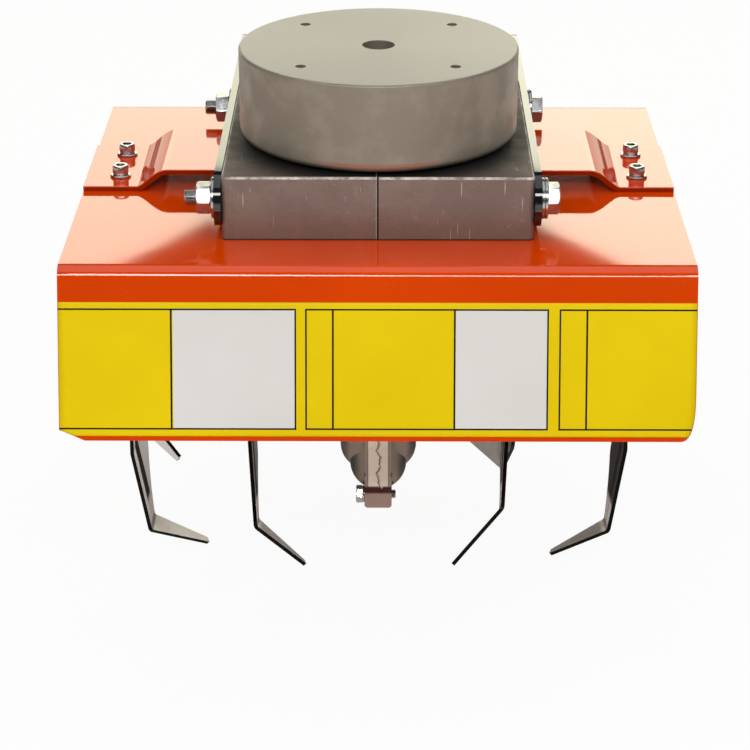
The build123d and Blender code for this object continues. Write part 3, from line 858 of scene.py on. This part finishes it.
def tidy_mesh(mesh):
    """Welds poles and seams, drops faces that closed up, and turns the faces outwards."""
    work = bmesh.new()
    work.from_mesh(mesh)
    bmesh.ops.remove_doubles(work, verts=work.verts, dist=WELD_DISTANCE)
    bmesh.ops.dissolve_degenerate(work, edges=work.edges, dist=WELD_DISTANCE)
    bmesh.ops.recalc_face_normals(work, faces=work.faces)
    work.to_mesh(mesh)
    work.free()


def smooth_but_hard_edges(mesh, hard_angle):
    """Smooth shading, apart from edges that turn by more than the given angle in degrees."""
    mesh.shade_smooth()
    mesh.set_sharp_from_angle(angle=radians(hard_angle))


def piece_from_grids(name, grids, material, body, wrap=True, hard_angle=HARD_ANGLE):
    """One object from several grids of points, each its own shell, on the given body."""
    points, faces, count = [], [], 0
    for grid in grids:
        rows, columns, _ = grid.shape
        faces.append(grid_faces(rows, columns, wrap) + count)
        points.append(grid.reshape(-1, 3))
        count += rows * columns
    mesh = bpy.data.meshes.new(name)
    mesh.from_pydata(np.concatenate(points).tolist(), [], np.concatenate(faces).tolist())
    tidy_mesh(mesh)
    smooth_but_hard_edges(mesh, hard_angle)
    dress(mesh, material)
    piece = stand(name, mesh)
    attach(piece, body)
    return piece


print("grid helper ready")

# %% [markdown]
# ## Fasteners as turned profiles
# A bolt is a turned bar with a few tricks. Walk along its axis: at each step the section is a circle, or a
# hexagon that a cone has trimmed, or a circle whose radius rises and falls with the thread. So one function
# of two parameters, place along the axis and angle round it, makes every fastener here.

# %% Turned profiles
TURN_STEPS = 144
ANGLES = np.arange(TURN_STEPS) * 2 * pi / TURN_STEPS
CONE_SHARE = 0.96
CONE_STEPS = (0.25, 0.5, 0.75, 1.0)
ROWS_PER_PITCH = 8
THREAD_DEPTH = 0.61
FLANK = 1.15
CREST = 0.075
RUNOUT = 0.7
RIM_SHARE = 0.25
RIM_MOST = 0.0004


def hexagon(across_flats):
    """Radius of a hexagon at each angle: half the flats over the cosine of the angle off the nearest flat."""
    off_flat = (ANGLES + pi / 6) % (pi / 3) - pi / 6
    return across_flats / 2 / np.cos(off_flat)


def ring(place, radius):
    """One row of a profile: the place along the axis, and a radius for each angle."""
    return np.stack([np.full(TURN_STEPS, place), np.broadcast_to(radius, TURN_STEPS)], -1)


def coned_end(place, inward, across_flats):
    """Rows inwards from a hexagon's end that a 30 degree cone trims: radius = the lesser of flat and cone."""
    inner = across_flats / 2 * CONE_SHARE
    corner = across_flats / 2 / cos(pi / 6)
    drop = (corner - inner) * tan(radians(30.0))
    rows = [ring(place, inner)]
    for share in CONE_STEPS:
        limit = inner + (corner - inner) * share
        rows.append(ring(place + inward * drop * share, np.minimum(hexagon(across_flats), limit)))
    return rows


def hex_rows(start, end, across_flats, cone_start, cone_end):
    """A hexagonal prism whose ends may be trimmed by a cone."""
    step = np.sign(end - start)
    first = coned_end(start, step, across_flats) if cone_start else [ring(start, hexagon(across_flats))]
    last = coned_end(end, -step, across_flats) if cone_end else [ring(end, hexagon(across_flats))]
    return first + last[::-1]


def thread_rows(start, end, radius, pitch):
    """A screw thread: the radius falls and rises again once each pitch, shifted by the angle round."""
    count = int(abs(end - start) / pitch * ROWS_PER_PITCH)
    depth = THREAD_DEPTH * pitch
    rows = []
    for place in np.linspace(start, end, count + 1):
        phase = (place / pitch - ANGLES / (2 * pi)) % 1.0
        groove = np.clip(FLANK * (1 - np.abs(2 * phase - 1)) - CREST, 0.0, 1.0)
        runout = np.clip(abs(end - place) / (RUNOUT * pitch), 0.0, 1.0)
        top = radius - (1 - runout) * depth
        rows.append(ring(place, np.minimum(radius - depth * groove, top)))
    return rows


def washer_rows(start, end, inner, outer):
    """A washer: out along one face, over an eased rim, and back along the other."""
    ease = min(abs(end - start) * RIM_SHARE, RIM_MOST)
    step = np.sign(end - start) * ease
    rows = [ring(start, inner), ring(start, outer - ease), ring(start + step, outer)]
    return rows + [ring(end - step, outer), ring(end, outer - ease), ring(end, inner)]


def closed(rows):
    """Adds a pole at each end, so that the shell is shut."""
    return [ring(rows[0][0, 0], 0.0), *rows, ring(rows[-1][0, 0], 0.0)]


def lay_out(rows, axis, origin):
    """Turns rows of (place, radius) into points: origin + place along the axis + radius round it."""
    rows = np.stack(rows)
    axis = np.array(axis, float)
    side = np.array((0.0, 0.0, 1.0)) if abs(axis[2]) < 0.5 else np.array((0.0, 1.0, 0.0))
    angle = ANGLES[None, :, None]
    spoke = np.cos(angle) * side + np.sin(angle) * np.cross(axis, side)
    return np.array(origin) + rows[..., :1] * axis + rows[..., 1:] * spoke


print("profile helpers ready")

# %% [markdown]
# ## The long bolts through the gearbox block
# Two M10 bolts clamp the side plates to the block. The head is on the right over two washers, and the nut and
# the thread's end stand out on the left. Each stands for its solid, and has what the solid leaves out:
# chamfered corners, a washer with an eased rim and the thread itself.

# %% Cross bolts and nuts
ALONG_X = (1, 0, 0)
M10_RADIUS = 0.005
M10_FLATS = 0.017
M10_PITCH = 0.0015
M10_HEAD = 0.007
WASHER = 0.0020
THREAD_LENGTH = 0.026
THREAD_STEP = 0.0005

plate_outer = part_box("side_plate_right")[1].x
bolt_low, bolt_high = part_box("cross_bolt_front")
nut_low, nut_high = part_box("cross_nut_front")
washer_radius = (nut_high.z - nut_low.z) / 2
head_foot = bolt_high.x - M10_HEAD
thread_start = bolt_low.x + THREAD_LENGTH

for place in ("front", "rear"):
    low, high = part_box(f"cross_nut_{place}")
    centre = (0.0, (low.y + high.y) / 2, (low.z + high.z) / 2)
    shells = [hex_rows(head_foot, bolt_high.x, M10_FLATS, False, True)]
    for start in np.arange(plate_outer, head_foot - WASHER / 2, WASHER):
        shells.append(washer_rows(start, start + WASHER, M10_RADIUS, washer_radius))
    shank = [ring(plate_outer, M10_RADIUS), ring(thread_start, M10_RADIUS)]
    shells.append(shank + thread_rows(thread_start - THREAD_STEP, bolt_low.x, M10_RADIUS, M10_PITCH))
    grids = [lay_out(closed(rows), ALONG_X, centre) for rows in shells]
    bolt = piece_from_grids(f"through_bolt_{place}", grids, zinc, "head")
    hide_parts(f"cross_bolt_{place}")

    nut = hex_rows(-plate_outer - WASHER, nut_low.x, M10_FLATS, True, True)
    disc = washer_rows(-plate_outer, -plate_outer - WASHER, M10_RADIUS, washer_radius)
    grids = [lay_out(closed(rows), ALONG_X, centre) for rows in (nut, disc)]
    nut_piece = piece_from_grids(f"through_nut_{place}", grids, zinc, "head")
    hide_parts(f"cross_nut_{place}")
    print("bolt", place, "washers", len(shells) - 2, "thread", round(THREAD_LENGTH * 1000), "mm")

# %% [markdown]
# ## The socket screws of the brackets
# Four M6 socket screws hold the brackets to the deck. Their heads are knurled, chamfered at the top and sunk
# with a hexagon for the key. The knurl is the same profile idea again: a radius that ripples forty times
# round.

# %% Socket screws
ALONG_Z = (0, 0, 1)
M6_RADIUS = 0.003
M6_PITCH = 0.001
KNURLS = 40
KNURL_DEPTH = 0.00016
KNURL_FOOT = 0.0009
KNURL_TOP = 0.0012
CAP_HEIGHT = 0.006
CAP_RADIUS = 0.005
CAP_EASE = 0.0005
CAP_CHAMFER = 0.0008
KEY_FLATS = 0.005
KEY_EASE = 0.0003
KEY_DEPTH = 0.0030
KEY_TIP = 0.0038
SCREW_WASHER = 0.0016


def socket_head(bottom, top):
    """Knurled wall, chamfer, top face, hexagonal socket and its cone, as one closed shell."""
    plain = CAP_RADIUS - KNURL_DEPTH
    knurl = CAP_RADIUS - KNURL_DEPTH * (0.5 + 0.5 * np.cos(KNURLS * ANGLES))
    eased = CAP_RADIUS - CAP_EASE
    key = hexagon(KEY_FLATS)
    rows = [ring(bottom, 0.0), ring(bottom, eased), ring(bottom + CAP_EASE, plain)]
    rows += [ring(bottom + KNURL_FOOT, knurl), ring(top - KNURL_TOP, knurl)]
    rows += [ring(top - CAP_CHAMFER, plain), ring(top, eased), ring(top, key + KEY_EASE)]
    rows += [ring(top - KEY_EASE, key), ring(top - KEY_DEPTH, key), ring(top - KEY_TIP, 0.0)]
    return rows


for number in (1, 2, 3, 4):
    node = f"bracket_screw_{number}"
    low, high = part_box(node)
    centre = ((low.x + high.x) / 2, (low.y + high.y) / 2, 0.0)
    seat = high.z - CAP_HEIGHT
    disc = washer_rows(seat - SCREW_WASHER, seat, M6_RADIUS, (high.x - low.x) / 2)
    thread = thread_rows(seat, low.z, M6_RADIUS, M6_PITCH)
    shells = [socket_head(seat, high.z), closed(disc), closed(thread)]
    grids = [lay_out(rows, ALONG_Z, centre) for rows in shells]
    screw = piece_from_grids(f"cap_screw_{number}", grids, zinc, "head")
    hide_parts(node)
    print("socket screw", number, "washer", round(1000 * (high.x - low.x), 1), "mm wide")

# %% [markdown]
# ## The seam bolts of the gearbox
# The two castings are pulled together by one M6 bolt through the lug at the foot and three more round the
# back of the wheel case. Their places follow from the axle and from the seam's radius.

# %% Seam bolts
SEAM_RADIUS = 0.0605
SEAM_ANGLES = (-48.0, 6.0, 60.0)
LUG_BOLT_Y = -0.0128
LUG_BOLT_DROP = 0.2053
LUG_HALF = 0.0089
SEAM_FLATS = 0.010
SEAM_WASHER = 0.0014
SEAM_WASHER_RADIUS = 0.0056
SEAM_HEAD = 0.0042
SEAM_END = 0.0026

bolt_places = [(LUG_BOLT_Y, DECK_TOP - LUG_BOLT_DROP, LUG_HALF)]
for angle in SEAM_ANGLES:
    y = AXLE_Y + SEAM_RADIUS * cos(radians(angle))
    z = AXLE_Z + SEAM_RADIUS * sin(radians(angle))
    bolt_places.append((y, z, SEAM_STRIP))
grids = []
for y, z, seat in bolt_places:
    top = -seat - SEAM_WASHER
    head = hex_rows(top, top - SEAM_HEAD, SEAM_FLATS, False, True)
    disc = washer_rows(-seat, top, M6_RADIUS, SEAM_WASHER_RADIUS)
    shank = [ring(-seat, M6_RADIUS), *thread_rows(0.0, seat + SEAM_END, M6_RADIUS, M6_PITCH)]
    grids += [lay_out(closed(rows), ALONG_X, (0.0, y, z)) for rows in (head, disc, shank)]
seam_bolts = piece_from_grids("seam_bolts", grids, zinc, "head")
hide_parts("seam_bolt")
print("seam bolts:", len(bolt_places))

# %% [markdown]
# ## The brackets' soft joggle
# Each bracket is a flat strap that lies on the deck, steps up in a joggle and turns up an ear against the
# side plate. On the real one a press bent the step softly, so its line is one smooth S. A strap is a section
# of eight points, a rectangle with eased corners, carried along that line, with its sides kept square to it.

# %% Brackets
STRAP = 0.0033
STRAP_EASE = 0.0005
STRAP_STEPS = 160
TAB_LENGTH = 0.0365
JOGGLE = 0.013
JOGGLE_SPREAD = 0.0035
EAR_HEIGHT = 0.0095
EAR_WIDTH = 0.024
EAR_STEPS = 4
BRACKET_HARD = 40.0


def strap_line(start, end, low, high):
    """The strap's underside: low outside, high inside, and half a cosine over the joggle and its spread."""
    x = np.linspace(start, end, STRAP_STEPS)
    outside = start - TAB_LENGTH + JOGGLE_SPREAD
    inside = start - TAB_LENGTH - JOGGLE - JOGGLE_SPREAD
    share = np.clip((outside - x) / (outside - inside), 0, 1)
    return x, low + (high - low) * (0.5 - 0.5 * np.cos(pi * share))


def eased_section(front, back):
    """Eight points round a strap's section: place across its width, and height above its underside."""
    near, far = front + STRAP_EASE, back - STRAP_EASE
    foot, brow = STRAP_EASE, STRAP - STRAP_EASE
    across = np.array((near, far, back, back, far, near, front, front))
    above = np.array((0.0, 0.0, foot, brow, STRAP, STRAP, brow, foot))
    return across, above


def carried(x, z, section):
    """The section carried along the line (x, z): across lies along Y and above stands square to the line."""
    slope = np.gradient(z, x)
    length = np.sqrt(1 + slope**2)
    across, above = section
    points = np.zeros((len(x), len(across), 3))
    points[..., 0] = x[:, None] - (slope / length)[:, None] * above[None, :]
    points[..., 1] = across[None, :]
    points[..., 2] = z[:, None] + (1 / length)[:, None] * above[None, :]
    return points


def ear_points(middle, foot, top):
    """The ear against the side plate: the same section, stood on end."""
    across, above = eased_section(middle - EAR_WIDTH / 2, middle + EAR_WIDTH / 2)
    points = np.zeros((EAR_STEPS, len(across), 3))
    points[..., 0] = plate_outer + above
    points[..., 1] = across
    points[..., 2] = np.linspace(foot, top, EAR_STEPS)[:, None]
    return points


for side, sign in (("left", -1), ("right", 1)):
    low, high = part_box(f"hood_bracket_{side}")
    ear_foot = high.z - EAR_HEIGHT
    x, z = strap_line(hood_half, plate_outer, low.z, ear_foot - STRAP)
    strap = carried(x, z, eased_section(low.y, high.y))
    ear = ear_points((low.y + high.y) / 2, ear_foot - STRAP / 2, high.z)
    grids = [capped(points) * (sign, 1, 1) for points in (strap, ear)]
    name = f"joggled_bracket_{side}"
    bracket = piece_from_grids(name, grids, bracket_paint, "head", hard_angle=BRACKET_HARD)
    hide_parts(f"hood_bracket_{side}")
    print("bracket", side, "joggle", round(1000 * float(z[-1] - z[0]), 1), "mm high")

# %% [markdown]
# ## The vinyl band on the apron
# A yellow vinyl band runs right across the front apron, divided by thin black lines into three frames, with
# two white panels. It could be a mask in the hood's paint, but the real one is a sheet of its own, a tenth of
# a millimetre thick and duller than the paint, and so is this one. Each row of its grid runs from one cut
# corner of the apron to the other, so its outline follows the steel under it.

# %% The band's sheet
BAND_TOP = 0.0201
BAND_BOTTOM = 0.0982
BAND_ROWS = 60
BAND_COLUMNS = 90
VINYL = 0.00012
VINYL_INSET = 0.0004
APRON_LENGTH = 0.101
LEFT_CUT = (0.015, 0.006)
RIGHT_CUT = (0.0085, 0.025)

slope_down = np.array((0.0, -sin(APRON_FLARE), -cos(APRON_FLARE)))
apron_out = np.array((0.0, -cos(APRON_FLARE), sin(APRON_FLARE)))
fold_apex = np.array((0.0, HOOD_FRONT, DECK_TOP))


def band_surface():
    """Point = fold line + slope distance down the apron, at x between that row's left and right cut edges."""
    slope = np.linspace(BAND_TOP, BAND_BOTTOM, BAND_ROWS)
    rise = (APRON_LENGTH - slope) * cos(APRON_FLARE)
    left = VINYL_INSET - hood_half + LEFT_CUT[0] * np.clip(1 - rise / LEFT_CUT[1], 0, 1)
    turn = 1 - np.sqrt(np.clip(rise / RIGHT_CUT[1], 0, 1))
    right = hood_half - VINYL_INSET - RIGHT_CUT[0] * turn**2
    share = np.linspace(0, 1, BAND_COLUMNS)[None, :]
    line = fold_apex + slope[:, None, None] * slope_down + VINYL / 2 * apron_out
    points = np.broadcast_to(line, (BAND_ROWS, BAND_COLUMNS, 3)).copy()
    points[..., 0] = left[:, None] * (1 - share) + right[:, None] * share
    return points


print("band", round(2 * hood_half, 3), "m wide,", round(BAND_BOTTOM - BAND_TOP, 4), "m tall")

# %% [markdown]
# ## The band's colours
# A picture of the band could be wrapped on, but lines are sharper as arithmetic. Two distances are enough: x,
# and the slope distance below the fold. A frame is its outer rectangle less its inner one, and a panel is a
# rectangle.

# %% The band's colours
LINE_TOP = 0.0237
LINE_BOTTOM = 0.0943
LINE_WIDTH = 0.0010
LINE_SOFT = 0.00012
FRAMES = ((-0.200, -0.0470), (-0.0417, 0.0991), (0.1053, 0.200))
DIVIDERS = (-0.1194, -0.0257, 0.0448, 0.1213)
WHITE_PANELS = ((-0.1183, -0.0475), (0.0454, 0.0987))
YELLOW_DULL = (0.735, 0.525, 0.001)
YELLOW_BRIGHT = (0.790, 0.570, 0.001)
PANEL_DULL = (0.665, 0.640, 0.605)
PANEL_BRIGHT = (0.705, 0.680, 0.650)
LINE_BLACK = (0.010, 0.009, 0.008)
VINYL_WAVE = 0.0004

vinyl = Finish("band_vinyl")
band_x = vinyl.along("X")
band_slope = (DECK_TOP - vinyl.along("Z")) / cos(APRON_FLARE)
tall = band_slope.between(LINE_TOP, LINE_BOTTOM, LINE_SOFT)
low = band_slope.between(LINE_TOP + LINE_WIDTH, LINE_BOTTOM - LINE_WIDTH, LINE_SOFT)
lines = 0.0
for left, right in FRAMES:
    wide = band_x.between(left, right, LINE_SOFT)
    inner = band_x.between(left + LINE_WIDTH, right - LINE_WIDTH, LINE_SOFT)
    lines = lines + wide * tall * (1 - inner * low)
for divider in DIVIDERS:
    lines = lines + band_x.between(divider - LINE_WIDTH / 2, divider + LINE_WIDTH / 2, LINE_SOFT) * tall
white = 0.0
for left, right in WHITE_PANELS:
    white = white + band_x.between(left, right, LINE_SOFT) * tall
fading = vinyl.noise(12.0, detail=3.0).rise(0.3, 0.75)
panel_tone = vinyl.mix(fading, PANEL_DULL, PANEL_BRIGHT)
band_vinyl = vinyl.close(
    Base_Color=vinyl.over(
        vinyl.mix(fading, YELLOW_DULL, YELLOW_BRIGHT),
        (white.least(1.0), panel_tone),
        (lines.least(1.0), LINE_BLACK),
    ),
    Roughness=0.34 + fading * 0.06,
    Normal=vinyl.bump(vinyl.noise(60.0, detail=3.0), VINYL_WAVE, strength=0.08),
    Specular_IOR_Level=0.1,
)
band = piece_from_grids("vinyl_band", [band_surface()], band_vinyl, "head", wrap=False)
thick = band.modifiers.new("thickness", "SOLIDIFY")
thick.thickness = VINYL
thick.offset = 0.0
print("frames:", len(FRAMES), "white panels:", len(WHITE_PANELS))

# %% [markdown]
# ## The hood with clean corners
# The solid's front apron keeps a sliver of sheet below each corner cut, because the cuts end level with the
# outer edge while the inner edge hangs half a millimetre lower. A merged copy of the solid is sliced at the
# ends of both cuts and at that level, the faces of the slivers are dropped, and the two small openings are
# closed.

# %% Hood
SLICE = 1e-7
LEVEL_MARGIN = 1e-5


def without_slivers(node):
    """A merged copy of the hood's mesh without what lies below the level of the cuts, outside their ends."""
    level = DECK_TOP - APRON_LENGTH * cos(APRON_FLARE)
    ends = (-hood_half + LEFT_CUT[0], hood_half - RIGHT_CUT[0])
    work = bmesh.new()
    work.from_mesh(node.data)
    work.transform(node.matrix_world)
    bmesh.ops.remove_doubles(work, verts=work.verts, dist=WELD_DISTANCE)
    slices = [((ends[0], 0, 0), ALONG_X), ((ends[1], 0, 0), ALONG_X), ((0, 0, level), ALONG_Z)]
    for point, normal in slices:
        everything = [*work.verts, *work.edges, *work.faces]
        bmesh.ops.bisect_plane(work, geom=everything, dist=SLICE, plane_co=point, plane_no=normal)
    sliver = []
    for face in work.faces:
        middle = face.calc_center_median()
        outside = not ends[0] < middle.x < ends[1]
        if outside and middle.y < HOOD_FRONT and middle.z < level + LEVEL_MARGIN:
            sliver.append(face)
    bmesh.ops.delete(work, geom=sliver, context="FACES")
    openings = [edge for edge in work.edges if edge.is_boundary]
    bmesh.ops.holes_fill(work, edges=openings, sides=0)
    mesh = bpy.data.meshes.new("folded_hood")
    work.to_mesh(mesh)
    still_open = sum(edge.is_boundary for edge in work.edges)
    work.free()
    print("hood: faces dropped", len(sliver), "edges closed", len(openings), "still open", still_open)
    return mesh


hood_mesh = without_slivers(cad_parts["hood"])
smooth_but_hard_edges(hood_mesh, HARD_ANGLE)
dress(hood_mesh, hood_paint)
folded_hood = stand("folded_hood", hood_mesh)
even_shade = folded_hood.modifiers.new("even_shade", "WEIGHTED_NORMAL")
even_shade.keep_sharp = True
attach(folded_hood, "head")
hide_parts("hood")

# %% [markdown]
# ## The flash on the casting's joint
# Where two casting halves meet, a thin ragged fin of metal is left and roughly ground off. On the leg it
# shows as a crooked line down the middle of the pale strip. It is a ridge carried along the leg's profile,
# whose height and sideways wander come from sums of sines, so that it is the same at every run.

# %% The flash's path
FLASH_STEPS = 420
FLASH_START = 0.004
FOOT_TURN = radians(38.0)
TUBE_RADIUS = 0.0185
TUBE_DROP = 0.206
SEAM_MARGIN = 0.005
CASE_RING = 0.059


def seam_profile():
    """Down the flat front of the seam, then round the leg's foot: points, outward normals and lengths."""
    radius = TUBE_RADIUS + SEAM_MARGIN
    turn_z = DECK_TOP - TUBE_DROP + TUBE_RADIUS
    start_z = DECK_TOP - FLASH_START
    straight = start_z - turn_z
    length = np.linspace(0, straight + radius * FOOT_TURN, FLASH_STEPS)
    angle = np.clip((length - straight) / radius, 0, None)
    y = np.where(length < straight, -radius, -radius * np.cos(angle))
    z = np.where(length < straight, start_z - length, turn_z - radius * np.sin(angle))
    case_front = AXLE_Y - np.sqrt(np.clip(CASE_RING**2 - (z - AXLE_Z) ** 2, 0, None))
    points = np.stack([np.zeros(FLASH_STEPS), np.minimum(y, case_front), z], -1)
    normals = np.stack([np.zeros(FLASH_STEPS), -np.cos(angle), -np.sin(angle)], -1)
    return points, normals, length


centre_line, outward, length = seam_profile()
print("flash", round(float(length[-1]), 4), "m long")

# %% The flash's ridge and metal
FLASH_HALF = 0.0012
FLASH_HEIGHT = 0.0007
FLASH_SIDE = 0.0008
WANDER_WAVES = ((0.0009, 330.0, 1.0), (0.0005, 790.0, 0.0), (0.0002, 1900.0, 0.0))
RIDGE_ACROSS = np.array((-1.0, -0.35, 0.0, 0.35, 1.0))
RIDGE_LIFT = np.array((-0.25, 0.45, 1.0, 0.45, -0.25))
FIN_DULL = (0.62, 0.50, 0.39)
FIN_BRIGHT = (0.90, 0.78, 0.62)
FIN_SHADE = (0.26, 0.20, 0.155)
FLASH_HARD = 60.0

wander = FLASH_SIDE + sum(size * np.sin(rate * length + start) for size, rate, start in WANDER_WAVES)
height = FLASH_HEIGHT * (0.75 + 0.25 * np.sin(1100 * length) * np.sin(430 * length + 0.7))
ridge = centre_line[:, None, :] + outward[:, None, :] * (height[:, None] * RIDGE_LIFT[None, :])[..., None]
ridge[..., 0] = wander[:, None] + RIDGE_ACROSS[None, :] * FLASH_HALF
under = (centre_line - outward * FLASH_HEIGHT)[:, None, :]
under[..., 0] = wander[:, None]
flash_grid = capped(np.concatenate([ridge, under], axis=1))

fin = Finish("flash_metal")
fin_metal = fin.mix(fin.noise(300.0, detail=3.0).rise(0.4, 0.65), FIN_DULL, FIN_BRIGHT)
fin_tone = fin.mix(fin.facing()[0].rise(0.10, -0.30), fin_metal, FIN_SHADE)
flash_metal = fin.close(Base_Color=fin_tone, Roughness=0.45, Metallic=0.5)
piece_from_grids("parting_flash", [flash_grid], flash_metal, "head", hard_angle=FLASH_HARD)
print("flash wanders from", round(1000 * wander.min(), 1), "to", round(1000 * wander.max(), 1), "mm")

# %% [markdown]
# ## Weld beads on the rotor
# Each pair of crossed blades is welded to the hub tube on both faces. A plain torus would look like a rubber
# ring there, so the bead's thickness beats like a row of overlapping coins, one for each stop of the torch.
# It is small, but it is what really holds the blades.

# %% Weld beads
HUB_RADIUS = 0.017
BEAD = 0.0019
BEAD_STEPS = 240
BEAD_SECTION = 12
BEAD_COINS = 38
BEAD_LIFT = 0.0004
BEAD_OFFSET = 0.0002
BEAD_SQUASH = 0.9
STAR_PLACES = (0.085, 0.163)
FLANGE = 0.004
BLADE = 0.0025
WELD_HARD = 70.0


def weld_ring(x, facing_side):
    """A ring of coins: the bead's radius swells once in each coin, and slowly three times round the hub."""
    turn = np.linspace(0, 2 * pi, BEAD_STEPS, endpoint=False)[:, None]
    section = np.linspace(0, 2 * pi, BEAD_SECTION, endpoint=False)[None, :]
    beat = (turn * BEAD_COINS / (2 * pi)) % 1.0
    radius = BEAD * (0.92 + 0.16 * np.sin(pi * beat)) * (1 + 0.05 * np.sin(3 * turn + x * 90))
    spoke = HUB_RADIUS + BEAD_LIFT + radius * np.cos(section) * BEAD_SQUASH
    along = x + facing_side * (BEAD_OFFSET + radius * np.sin(section) * BEAD_SQUASH)
    y = AXLE_Y + spoke * np.sin(turn)
    z = AXLE_Z - spoke * np.cos(turn)
    grid = np.stack([along, y, z], -1)
    return np.concatenate([grid, grid[:1]])


for side, sign in (("left", -1), ("right", 1)):
    rings = []
    for x in STAR_PLACES:
        rings += [weld_ring(sign * (x - BLADE), -sign), weld_ring(sign * (x + FLANGE + BLADE), sign)]
    piece_from_grids(f"hub_welds_{side}", rings, weld_steel, "rotor", hard_angle=WELD_HARD)
    print("weld rings", side, len(rings))
